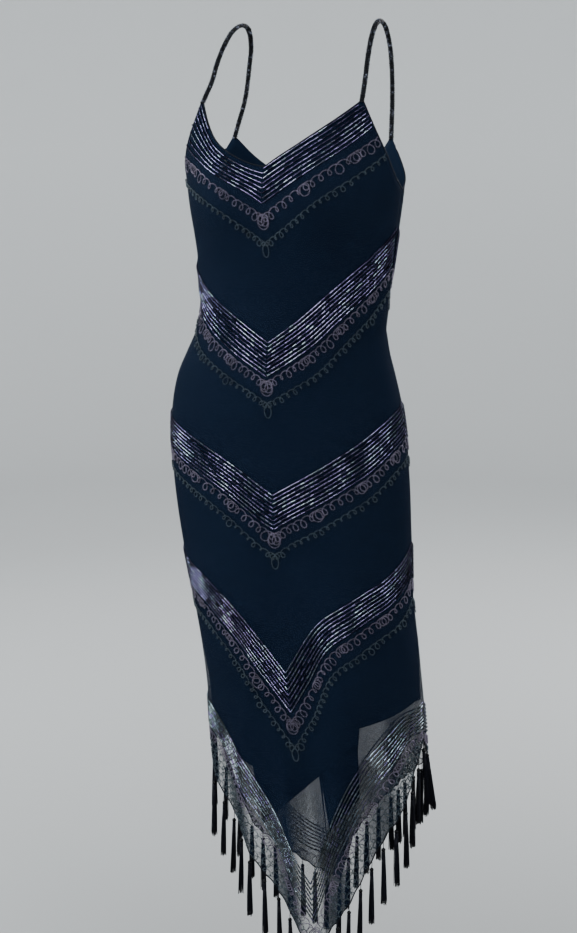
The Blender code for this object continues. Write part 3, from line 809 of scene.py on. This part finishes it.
sewn_on = {"front": [], "back": []}
chance = np.random.default_rng(17)
for cut, label, points in BANDS:
    found = []
    for half in (0, 1):
        for row in range(ROWS_IN_BAND[label]):
            place, z = line_below(points, half, (row + FIRST_ROW) * ROW_PITCH)
            start = BUGLE_LENGTH * (FIRST_BUGLE + FIRST_BUGLE_VARIES * chance.random())
            at_place, at_z, run = along_line(place, z, BUGLE_RADIUS, BUGLE_PITCH, start)
            next_place, next_z, _ = along_line(place, z, BUGLE_RADIUS, BUGLE_PITCH, start + LOOK_AROUND)
            count = min(len(at_place), len(next_place))
            at_place, at_z, run = at_place[:count], at_z[:count], run[:count]
            next_place, next_z = next_place[:count], next_z[:count]
            kept = holds(cut, at_place, at_z) & holds(cut, next_place, next_z)
            here = on_dress(at_place, at_z, BUGLE_RADIUS + BUGLE_LIFT)
            there = on_dress(next_place, next_z, BUGLE_RADIUS + BUGLE_LIFT)
            drift = DRIFT * np.sin(run * DRIFT_A_METRE + row * DRIFT_A_ROW)
            drift = drift + BEAD_TO_BEAD * chance.standard_normal(count)
            tints = np.clip(BAND_TINT_AND_PAINTED_SHEEN[label] + drift, 0, 1)
            found.append([values[kept] for values in (at_place, at_z, there - here, tints)])
    at_place, at_z, along, tints = (np.concatenate(values) for values in zip(*found))
    along = unit(along) + chance.normal(0, BUGLE_LEAN, (len(at_place), 3))
    turns = turns_from(along, facing(at_place, at_z))
    centres = on_dress(at_place, at_z, BUGLE_RADIUS + BUGLE_LIFT)
    band = joined_copies(f"{cut.side}_{label}_band", bugle, turns, centres, tints, bugle_glass)
    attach(band, "root")
    sewn_on[cut.side].append(band)


# Under every band run two lines of small glass beads in curling scrolls: a bright lilac one and
# a dimmer grey-green one below it, with a knot of rings at each point. The hem has four more of
# the dimmer lines, down to its edge.
SEED_RADIUS = 0.00098
SEED_PITCH = 0.00200
SEED_SHARE_OUT = 0.9
SEED_MARGIN = 0.003
SEED_FLATTENED = 0.82
SEED_TINTS = (0.5, 0.25)
CURL_POINTS = 40
RING_POINTS = 60
BASE_EVENED_OVER = 31
# Curls vary in size and distance, every so often one is big, and two are bunched together
LEAST_GROWN = 0.8
MOST_GROWN = 1.3
BIG_CURL = 1.25
BUNCHED = 0.32
APART = 0.86
APART_VARIES = 0.30
Scroll = namedtuple("Scroll", "pitch swing height uneven big_every bunch_every")
UPPER_SCROLL = Scroll(0.0122, 0.0052, 0.0108, 0.15, 5, 7)
LOWER_SCROLL = Scroll(0.0104, 0.0038, 0.0074, 0.20, 6, 50)
UPPER_BELOW = {
    "neck": (0.0495,),
    "waist": (0.0470,),
    "hip": (0.0462,),
    "thigh": (0.0435,),
    "hem": (0.0430,),
}
LOWER_BELOW = {
    "neck": (0.0810,),
    "waist": (0.0720,),
    "hip": (0.0700,),
    "thigh": (0.0670,),
    "hem": (0.0580, 0.0700, 0.0810, 0.0920, 0.1030),
}
Knot = namedtuple("Knot", "aside depth half_width half_height")
UPPER_KNOT = [
    Knot(0.0000, 0.0092, 0.0086, 0.0100),
    Knot(0.0026, 0.0088, 0.0052, 0.0060),
    Knot(-0.0032, 0.0076, 0.0048, 0.0062),
]
LOWER_KNOT = [Knot(0.0000, 0.0110, 0.0048, 0.0090)]


def curls(scroll, length, chance):
    """A curling line as distance along and depth below its base, for this length of base"""
    along, below = [], []
    reached = 0.0
    number = 0
    turn = np.linspace(0, math.tau, CURL_POINTS, endpoint=False)
    while reached < length:
        number += 1
        grown = 1 + scroll.uneven * chance.standard_normal()
        grown = min(max(grown, LEAST_GROWN), MOST_GROWN)
        grown = grown * (BIG_CURL if number % scroll.big_every == 2 else 1.0)
        in_bunch = number % scroll.bunch_every in (0, 1)
        advance = scroll.pitch * (BUNCHED if in_bunch else APART + APART_VARIES * chance.random())
        swing = scroll.swing * grown
        depth = scroll.height * grown
        along.append(reached + advance * turn / math.tau + swing * np.sin(turn))
        below.append(depth * (1 - np.cos(turn)) / 2)
        reached += advance
    return np.concatenate(along), np.concatenate(below)


def off_line(place, z, along, below):
    """Places and heights at a distance along a base line and a depth below it"""
    sideways = place * GIRTH_PER_PLACE
    run = np.concatenate([[0], np.cumsum(np.hypot(np.diff(sideways), np.diff(z)))])
    padded = np.pad(z, BASE_EVENED_OVER // 2, mode="edge")
    smooth = np.convolve(padded, np.ones(BASE_EVENED_OVER) / BASE_EVENED_OVER, mode="valid")
    step_x, step_z = np.gradient(sideways), np.gradient(smooth)
    length = np.hypot(step_x, step_z)
    outward = np.sign(place[-1] - place[0])
    down_x, down_z = step_z / length * outward, -np.abs(step_x) / length
    at_x = np.interp(along, run, sideways) + np.interp(along, run, down_x) * below
    at_z = np.interp(along, run, z) + np.interp(along, run, down_z) * below
    return at_x / GIRTH_PER_PLACE, at_z


def rings(tip_place, tip_z, knots):
    """Closed rings of a knot under the point of a chevron"""
    turn = np.linspace(0, math.tau, RING_POINTS)
    for knot in knots:
        place = tip_place + (knot.aside + knot.half_width * np.sin(turn)) / GIRTH_PER_PLACE
        yield place, tip_z - knot.depth + knot.half_height * np.cos(turn)


def seed_bead():
    """A small round bead, a little flattened along its thread"""
    nothing_selected()
    bpy.ops.mesh.primitive_ico_sphere_add(subdivisions=1, radius=SEED_RADIUS)
    bpy.ops.object.mode_set(mode="EDIT")
    bpy.ops.mesh.select_all(action="SELECT")
    bpy.ops.transform.resize(value=(SEED_FLATTENED, 1.0, 1.0))
    bpy.ops.object.mode_set(mode="OBJECT")
    bpy.ops.object.shade_smooth()
    return read_model(bpy.context.object)


seed = seed_bead()
lilac_seeds = bead_glass("lilac_seed_beads", [
    (0.050, 0.043, 0.066), (0.125, 0.105, 0.155), (0.175, 0.152, 0.210), (0.105, 0.100, 0.128),
], roughness=0.30, finish={"Metallic": 0.55, "Coat Weight": 0.1})
dim_seeds = bead_glass("grey_green_seed_beads", [
    (0.013, 0.021, 0.027), (0.033, 0.050, 0.060), (0.056, 0.077, 0.090), (0.029, 0.041, 0.055),
], roughness=0.34, finish={"Metallic": 0.5, "Coat Weight": 0.1})
LEVELS = [
    ("upper", UPPER_BELOW, UPPER_SCROLL, UPPER_KNOT, lilac_seeds),
    ("lower", LOWER_BELOW, LOWER_SCROLL, LOWER_KNOT, dim_seeds),
]

chance = np.random.default_rng(29)
for cut, label, points in BANDS:
    for level, all_below, scroll, knots, glass in LEVELS:
        threads = []
        for below in all_below[label]:
            for half in (0, 1):
                place, z = line_below(points, half, below)
                length = np.sum(np.hypot(np.diff(place) * GIRTH_PER_PLACE, np.diff(z)))
                threads.append(off_line(place, z, *curls(scroll, length, chance)))
        threads.extend(rings(place[0], z[0], knots))
        found = []
        for place, z in threads:
            at_place, at_z, _ = along_line(place, z, SEED_RADIUS, SEED_PITCH, 0)
            kept = holds(cut, at_place, at_z, SEED_MARGIN)
            along = np.gradient(on_dress(at_place, at_z, SEED_RADIUS), axis=0)
            found.append([values[kept] for values in (at_place, at_z, along)])
        at_place, at_z, along = (np.concatenate(values) for values in zip(*found))
        turns = turns_from(along, facing(at_place, at_z))
        centres = on_dress(at_place, at_z, SEED_RADIUS * SEED_SHARE_OUT)
        tints = np.clip(chance.normal(*SEED_TINTS, len(at_place)), 0, 1)
        name = f"{cut.side}_{label}_{level}_scrolls"
        scrolls = joined_copies(name, seed, turns, centres, tints, glass)
        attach(scrolls, "root")
        sewn_on[cut.side].append(scrolls)


# Each strap is a narrow black tape wound all round with small black glass beads. It is sewn
# to the tip of the front, passes over the shoulder and is sewn to the tip of the back.
STRAP_TAPE_WIDTH = 0.0052
STRAP_TAPE_THICKNESS = 0.0016
STRAP_BEAD_SCALE = 1.75
STRAP_BEAD_PITCH = 0.0030
STRAP_BEADS_ROUND = 6
STRAP_BEAD_RING = (0.0025, 0.0016)
STRAP_BEADS_FACE_OUT = 0.5
STRAP_BEADS_UNEVEN = 0.06
STRAP_BEADS_WANDER = 0.00012
STRAP_TINTS_AND_PAINTED_GLINTS = (0.45, 0.28)
STRAP_END_SHARE = 0.25
STRAP_SEAT_GAP = 0.0004
STRAP_ROLL = math.radians(14)
TIP_PLACE = 0.580
Way = namedtuple("Way", "x y z")
STRAP_WAYS = {
    "left": [
        Way(0.1098, -0.0700, -0.0740),
        Way(0.1098, -0.0610, -0.0480),
        Way(0.1085, -0.0440, -0.0200),
        Way(0.1068, -0.0220, -0.0010),
        Way(0.1052, 0.0010, 0.0055),
        Way(0.1045, 0.0240, -0.0010),
        Way(0.1052, 0.0400, -0.0220),
        Way(0.1070, 0.0460, -0.0550),
        Way(0.1085, 0.0450, -0.1000),
    ],
    "right": [
        Way(-0.1100, -0.0720, -0.0760),
        Way(-0.1062, -0.0610, -0.0500),
        Way(-0.1025, -0.0440, -0.0250),
        Way(-0.0985, -0.0240, -0.0060),
        Way(-0.0950, -0.0010, 0.0020),
        Way(-0.0955, 0.0220, -0.0030),
        Way(-0.0985, 0.0380, -0.0230),
        Way(-0.1045, 0.0450, -0.0550),
        Way(-0.1115, 0.0450, -0.1000),
    ],
}


def strap_line(side, way, front_z, back_z):
    """Evenly spaced points of a strap, with its direction, its width's and its face's at each"""
    front_tip = on_dress(side * TIP_PLACE, front_z, -CAD_NET_WALL / 2) + (0, 0, STRAP_SEAT_GAP)
    back_tip = on_dress(2 - side * TIP_PLACE, back_z, -CAD_NET_WALL / 2) + (0, 0, STRAP_SEAT_GAP)
    front_rise = (np.array(way[0]) - front_tip) * STRAP_END_SHARE
    back_rise = (np.array(way[-1]) - back_tip) * STRAP_END_SHARE
    stops = np.array([front_tip, front_tip + front_rise, *way, back_tip + back_rise, back_tip])
    run = how_far(stops)
    at = np.linspace(0, run[-1], int(run[-1] / STRAP_BEAD_PITCH) + 1)
    points = through_table(np.column_stack([run, stops]), at)
    along = unit(np.gradient(points, axis=0))
    shoulder = np.sin(math.pi * at / run[-1]) ** 2 * STRAP_ROLL * side
    sideways = np.stack([np.cos(shoulder), np.zeros(len(at)), -np.sin(shoulder)], -1)
    sideways = unit(sideways - along * np.sum(sideways * along, axis=-1, keepdims=True))
    return points, along, sideways, np.cross(sideways, along)


def tape(name, points, sideways, faces_out):
    """A flat tape along a line, closed all round and at its ends"""
    rims = np.stack([
        points + sideways * a * STRAP_TAPE_WIDTH / 2 + faces_out * b * STRAP_TAPE_THICKNESS / 2
        for a, b in ((-1, -1), (1, -1), (1, 1), (-1, 1))
    ], 1)
    numbers = np.arange(len(points) * 4).reshape(len(points), 4).tolist()
    faces = [[low[k], low[(k + 1) % 4], high[(k + 1) % 4], high[k]]
             for low, high in zip(numbers, numbers[1:]) for k in range(4)]
    faces += [numbers[0][::-1], numbers[-1]]
    mesh = bpy.data.meshes.new(name)
    mesh.from_pydata(rims.reshape(-1, 3).tolist(), [], faces)
    mesh.materials.append(black_cord)
    return in_scene(name, mesh)


# Near black glass, with a pale grey stop that turns some beads grey: painted glints for the light they
# catch
black_seeds_painted_glints = bead_glass("black_seed_beads_painted_glints", [
    (0.0008, 0.0010, 0.0018), (0.0016, 0.0020, 0.0032),
    (0.0040, 0.0046, 0.0070), (0.0900, 0.1000, 0.1300),
], roughness=0.16, finish={"Metallic": 0.0, "Coat Weight": 0.0, "Specular IOR Level": 0.18})
chance = np.random.default_rng(41)
for label, side in (("left", 1), ("right", -1)):
    tip = FRONT_TOP[TIP_STEPS[0]]
    front_z = tip.left_z if side > 0 else tip.right_z
    back_z = BACK_TOP[TIP_STEPS[0]].left_z
    points, along, sideways, faces_out = strap_line(side, STRAP_WAYS[label], front_z, back_z)
    core = tape(f"{label}_strap_tape", points, sideways, faces_out)
    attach(core, "root")
    found = []
    for number in range(2 * STRAP_BEADS_ROUND):
        # Every other string of beads starts half a bead round and one point on
        turn = math.tau * (number // 2 + number % 2 / 2) / STRAP_BEADS_ROUND
        across, out = STRAP_BEAD_RING[0] * math.cos(turn), STRAP_BEAD_RING[1] * math.sin(turn)
        offset = sideways * across + faces_out * out
        direction = sideways * math.cos(turn) * STRAP_BEADS_FACE_OUT + faces_out * math.sin(turn)
        found.append([values[number % 2 :: 2] for values in (points + offset, direction, along)])
    centres, outwards, alongs = (np.concatenate(values) for values in zip(*found))
    scaled = STRAP_BEAD_SCALE + chance.normal(0, STRAP_BEADS_UNEVEN, (len(centres), 1, 1))
    scaled = turns_from(alongs, outwards) * scaled
    centres = centres + chance.normal(0, STRAP_BEADS_WANDER, centres.shape)
    tints = np.clip(chance.normal(*STRAP_TINTS_AND_PAINTED_GLINTS, len(centres)), 0, 1)
    strap = joined_copies(f"{label}_strap_beads", seed, scaled, centres, tints, black_seeds_painted_glints)
    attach(strap, "root")
    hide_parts(f"{label}_strap")


# A black rayon tassel hangs at every scallop of the hem: a short thread, a cut glass bead, a
# wound neck, and a skirt of threads cut blunt. Its thread is knotted to the corded edge.
TASSEL_LENGTH = 0.092
TASSEL_UNEVEN = 0.0075
TASSEL_TOP = 0.008
TUCKED_IN = 0.001
BEAD_RADIUS = 0.0030
NECK_TOP = 0.0135
NECK_BOTTOM = 0.0205
NECK_RADIUS = 0.0027
NECK_ROUNDED = 0.0006
SKIRT_RADIUS_AT_NECK = 0.0024
SKIRT_RADIUS_AT_END = 0.0043
THREAD_RADIUS = 0.00042
TOP_THREAD_RADIUS = 0.0006
THREADS_IN_TASSEL = 44
THREAD_STEPS = 5
THREAD_WANDER = 0.0002
THREAD_BOW = (0.0002, 0.0003)
TURN_A_THREAD = 2.39996
TASSEL_THREAD_GAP = 0.0005
TASSEL_THREAD_RADIUS = 0.0008
TASSEL_SWING = math.radians(1.6)
TASSEL_LEANING = {"left_side_tassel": math.radians(-5), "back_tassel_01": math.radians(-8)}
SIDE_TASSEL_PLACE = 0.985


def joined(parts, name):
    """These objects joined into one, under this name"""
    nothing_selected()
    for part in parts:
        part.select_set(True)
    bpy.context.view_layer.objects.active = parts[0]
    bpy.ops.object.join()
    parts[0].name = name
    parts[0].data.name = name
    return parts[0]


def hanging_thread(start, end, bow, radius):
    """Points of one three-sided thread from start to end, bowed a little aside"""
    s = np.linspace(0, 1, THREAD_STEPS + 1)[:, None]
    line = start + (end - start) * s + bow * np.sin(math.pi * s)
    turn = np.array([0, math.tau / 3, 2 * math.tau / 3])
    ring = np.stack([np.cos(turn), np.sin(turn), np.zeros(3)], -1) * radius
    return (line[:, None, :] + ring).reshape(-1, 3)


def thread_faces(first):
    """Faces of one three-sided thread whose points start at this number"""
    last = first + THREAD_STEPS * 3
    sides = [[ring + a, ring + a + 3, ring + (a + 1) % 3 + 3, ring + (a + 1) % 3]
             for ring in range(first, last, 3) for a in range(3)]
    return [*sides, [first, first + 1, first + 2], [last + 2, last + 1, last]]


def tassel_model(seed_number):
    """One tassel hanging from its own origin, which is the point at the hem"""
    chance = np.random.default_rng(seed_number)
    nothing_selected()
    bpy.ops.mesh.primitive_uv_sphere_add(segments=10, ring_count=6, radius=BEAD_RADIUS,
                                         location=(0, 0, -TASSEL_TOP - BEAD_RADIUS))
    bead = bpy.context.object
    bpy.ops.object.transform_apply(location=True, rotation=True, scale=True)
    bead.data.materials.append(black_seeds_painted_glints)
    nothing_selected()
    bpy.ops.mesh.primitive_cylinder_add(vertices=10, radius=NECK_RADIUS, depth=NECK_BOTTOM - NECK_TOP,
                                        location=(0, 0, -(NECK_BOTTOM + NECK_TOP) / 2))
    neck = bpy.context.object
    bpy.ops.object.transform_apply(location=True, rotation=True, scale=True)
    bpy.ops.object.mode_set(mode="EDIT")
    bpy.ops.mesh.select_all(action="SELECT")
    bpy.ops.mesh.bevel(offset=NECK_ROUNDED, segments=2, affect="EDGES")
    bpy.ops.object.mode_set(mode="OBJECT")
    neck.data.materials.append(rayon)
    threads = []
    spirals = (np.arange(THREADS_IN_TASSEL) + 0.5) / THREADS_IN_TASSEL
    for number, share in enumerate(spirals):
        turn = number * TURN_A_THREAD
        reach = math.sqrt(share)
        around = np.array([math.cos(turn), math.sin(turn), 0])
        start = around * reach * SKIRT_RADIUS_AT_NECK + (0, 0, -NECK_BOTTOM + TUCKED_IN)
        length = TASSEL_LENGTH - TASSEL_UNEVEN * chance.random() ** 2
        wide = reach * SKIRT_RADIUS_AT_END * (0.9 + 0.2 * chance.random())
        aside, forward = chance.normal(0, THREAD_WANDER), chance.normal(0, THREAD_WANDER)
        end = around * wide + (aside, forward, -length)
        bow = around * chance.normal(*THREAD_BOW)
        threads.append(hanging_thread(start, end, bow, THREAD_RADIUS))
    top, bottom = np.array([0, -0.0004, 0.003]), np.array([0, 0, -TASSEL_TOP - TUCKED_IN])
    threads.append(hanging_thread(top, bottom, np.zeros(3), TOP_THREAD_RADIUS))
    faces = [face for number in range(len(threads)) for face in thread_faces(number * len(threads[0]))]
    mesh = bpy.data.meshes.new("tassel_skirt")
    mesh.from_pydata(np.concatenate(threads).tolist(), [], faces)
    mesh.materials.append(rayon)
    skirt = in_scene("tassel_skirt", mesh)
    for piece in (skirt, bead, neck):
        piece.data.shade_smooth()
    return joined([skirt, neck, bead], f"tassel_model_{seed_number}")


# Black rayon: threads with a soft gleam along them and a little unevenness in tone
rayon, tree, shader = new_material("black_rayon", {
    "Roughness": 0.50, "Specular IOR Level": 0.16, "Sheen Weight": 0.01,
})
inputs = {"Vector": add_node(tree, "TexCoord")["Object"], "Scale": (1400, 1400, 60)}
stretched = add_node(tree, "Mapping", inputs)["Vector"]
colour, _ = two_tones(tree, stretched, scale=1.0, detail=2.0,
                      dark=(0.0008, 0.0010, 0.0024), light=(0.0034, 0.0040, 0.0088))
feed(tree, shader, {"Base Color": colour})
models = [tassel_model(number) for number in (3, 5, 8)]
front_hem = NET_CUTS[0].hem
hung = []
for cut in NET_CUTS:
    places = even_places(cut.centre, np.arange(-HALF_STEPS + 1, HALF_STEPS))
    for number, place in enumerate(places, start=1):
        hung.append((cut.side, f"{cut.side}_tassel_{number:02d}", place, cut.hem))
hung.append(("side", "right_side_tassel", -SIDE_TASSEL_PLACE, front_hem))
hung.append(("side", "left_side_tassel", SIDE_TASSEL_PLACE, front_hem))
tassels = {"front": [], "back": [], "side": []}
for number, (side, node, place, hem) in enumerate(hung):
    spot = on_dress(place, hem_height(hem, place), TASSEL_THREAD_GAP + TASSEL_THREAD_RADIUS)
    lean = TASSEL_LEANING.get(node, TASSEL_SWING * math.sin(7 * place))
    lie = Euler((0, lean, math.tau * (place * 3 % 1)), "ZYX").to_matrix().to_4x4()
    mesh = models[number % len(models)].data.copy()
    mesh.transform(Matrix.Translation(Vector(spot)) @ lie)
    tassels[side].append((in_scene(node + "_threads", mesh), node))
for model in models:
    bpy.data.objects.remove(model)
for side, pieces in tassels.items():
    group = joined([piece for piece, node in pieces], f"{side}_tassel_threads")
    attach(group, "root")
    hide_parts(*(node for piece, node in pieces))


# The room is a pale floor that rises all round in one wide curve, with painted shade near the dress.
# The light is soft: a broad window in front on the left, weaker ones on the right and behind, and one
# above.
FLOOR_LEVEL = -1.480
ROOM_RADIUS = 5.7
ROOM_CORNER = 1.5
ROOM_HEIGHT = 3.9
ROOM_SIDES = 64
# The paint is pale grey with painted shade and light in it: darkest on the floor near the dress,
# paler with distance and height
PAINT_AND_PAINTED_SHADE = [(0.0, 0.20), (0.4, 0.60), (1.0, 0.75)]
PAINT_TINT = (1.0, 1.03, 1.04)
PALEST_LEVEL = 1.1
DISTANCE_COUNTS = 0.25


def room():
    """A round floor and its wall in one smooth surface, turned from one profile"""
    turn = np.linspace(0, math.pi / 2, 13)
    inner = ROOM_RADIUS - ROOM_CORNER
    profile = [(0.0, FLOOR_LEVEL), (inner * 0.5, FLOOR_LEVEL)]
    profile += [(inner + ROOM_CORNER * math.sin(a), FLOOR_LEVEL + ROOM_CORNER * (1 - math.cos(a)))
                for a in turn]
    profile.append((ROOM_RADIUS, FLOOR_LEVEL + ROOM_HEIGHT))
    angles = np.arange(ROOM_SIDES) * math.tau / ROOM_SIDES
    points = [(r * math.cos(a), r * math.sin(a), z) for r, z in profile for a in angles]
    numbers = np.arange(len(points)).reshape(len(profile), ROOM_SIDES).tolist()
    faces = [[low[k], low[(k + 1) % ROOM_SIDES], high[(k + 1) % ROOM_SIDES], high[k]]
             for low, high in zip(numbers[1:], numbers[2:]) for k in range(ROOM_SIDES)]
    faces.append(numbers[1][::-1])
    mesh = bpy.data.meshes.new("floor_and_wall")
    mesh.from_pydata(points, [], faces)
    mesh.shade_smooth()
    return in_scene("floor_and_wall", mesh)


floor = room()
# Its colour holds painted shade near the dress and painted light higher up
paint, tree, shader = new_material("pale_paint_and_painted_shade", {"Roughness": 0.9, "Specular IOR Level": 0.1})
place = add_node(tree, "TexCoord")["Object"]
height = add_node(tree, "SeparateXYZ", {"Vector": place})["Z"]
level = add_node(tree, "VectorMath", {0: place, 1: (1, 1, 0)}, operation="MULTIPLY")["Vector"]
distance = add_node(tree, "VectorMath", {0: level}, operation="LENGTH")["Value"]
inputs = {"Value": worked_out(tree, "MULTIPLY_ADD", distance, DISTANCE_COUNTS, height),
          "From Min": FLOOR_LEVEL, "From Max": PALEST_LEVEL}
share = add_node(tree, "MapRange", inputs)["Result"]
greys_with_painted_shade = [(position, [grey * part for part in PAINT_TINT]) for position, grey in PAINT_AND_PAINTED_SHADE]
feed(tree, shader, {"Base Color": ramp(tree, share, greys_with_painted_shade)})
floor.data.materials.append(paint)
floor.visible_glossy = False

Lamp = namedtuple("Lamp", "name x y z aim_z width height watts colour")
LAMPS = [
    Lamp("window_left", -0.85, -2.45, 0.72, -0.35, 1.10, 1.00, 38, (1.0, 0.98, 1.0)),
    Lamp("lamp_right", 0.95, -2.20, 0.35, -0.60, 0.60, 0.60, 18, (0.95, 0.97, 1.0)),
    Lamp("lamp_side_right", 2.05, -1.20, 0.30, -0.75, 0.65, 0.60, 16, (0.95, 0.97, 1.0)),
    Lamp("lamp_far_left", -2.30, -0.55, 0.35, -0.70, 1.20, 1.30, 38, (0.88, 0.98, 1.0)),
    Lamp("lamp_far_right", 2.30, -0.10, 0.05, -0.85, 0.70, 0.70, 14, (0.92, 0.98, 1.0)),
    Lamp("lamp_behind_left", 0.85, 2.45, 0.60, -0.40, 1.00, 0.90, 30, (1.0, 0.98, 1.0)),
    Lamp("lamp_behind_right", -1.70, 1.80, 0.35, -0.65, 0.65, 0.60, 16, (0.95, 0.97, 1.0)),
    Lamp("soft_left", -2.20, -2.00, 0.90, -0.60, 1.80, 1.80, 118, (0.96, 0.98, 1.0)),
    Lamp("soft_behind", 1.60, 2.60, 0.90, -0.60, 1.80, 1.80, 60, (0.96, 0.98, 1.0)),
    Lamp("ceiling", 0.6, 0.6, 2.9, 0.0, 3.2, 3.2, 165, (1.0, 1.0, 0.99)),
]
NOT_MIRRORED = ("soft_left", "soft_behind", "ceiling")
for lamp in LAMPS:
    light = bpy.data.lights.new(lamp.name, "AREA")
    light.shape = "RECTANGLE"
    light.size = lamp.width
    light.size_y = lamp.height
    light.energy = lamp.watts
    light.color = lamp.colour
    holder = in_scene(lamp.name, light)
    holder.location = (lamp.x, lamp.y, lamp.z)
    towards = Vector((0, 0, lamp.aim_z)) - holder.location
    holder.rotation_euler = towards.to_track_quat("-Z", "Y").to_euler()
    holder.visible_glossy = lamp.name not in NOT_MIRRORED
    holder.visible_camera = False
sky = bpy.data.worlds.new("soft_room_light")
sky.use_nodes = True
air = sky.node_tree.nodes["Background"]
feed(sky.node_tree, air, {"Color": (0.90, 0.94, 1.0, 1), "Strength": 0.22})
bpy.context.scene.world = sky


# The camera stands a little to the wearer's left, near shoulder height, and looks down. Its
# lens gives the photograph's frame.
CAMERA_PLACE = (0.9601, -2.4423, -0.10)
CAMERA_AZIMUTH = math.radians(22)
CAMERA_TILT = math.radians(11)
PHOTO_FOCAL_PIXELS = 1881
PHOTO_HEIGHT_PIXELS = 933
SENSOR = 36.0
view = bpy.data.cameras.new("camera")
view.sensor_width = SENSOR
view.lens = PHOTO_FOCAL_PIXELS / PHOTO_HEIGHT_PIXELS * SENSOR
camera = in_scene("camera", view)
camera.location = CAMERA_PLACE
camera.rotation_euler = (math.pi / 2 - CAMERA_TILT, 0, CAMERA_AZIMUTH)
bpy.context.scene.camera = camera
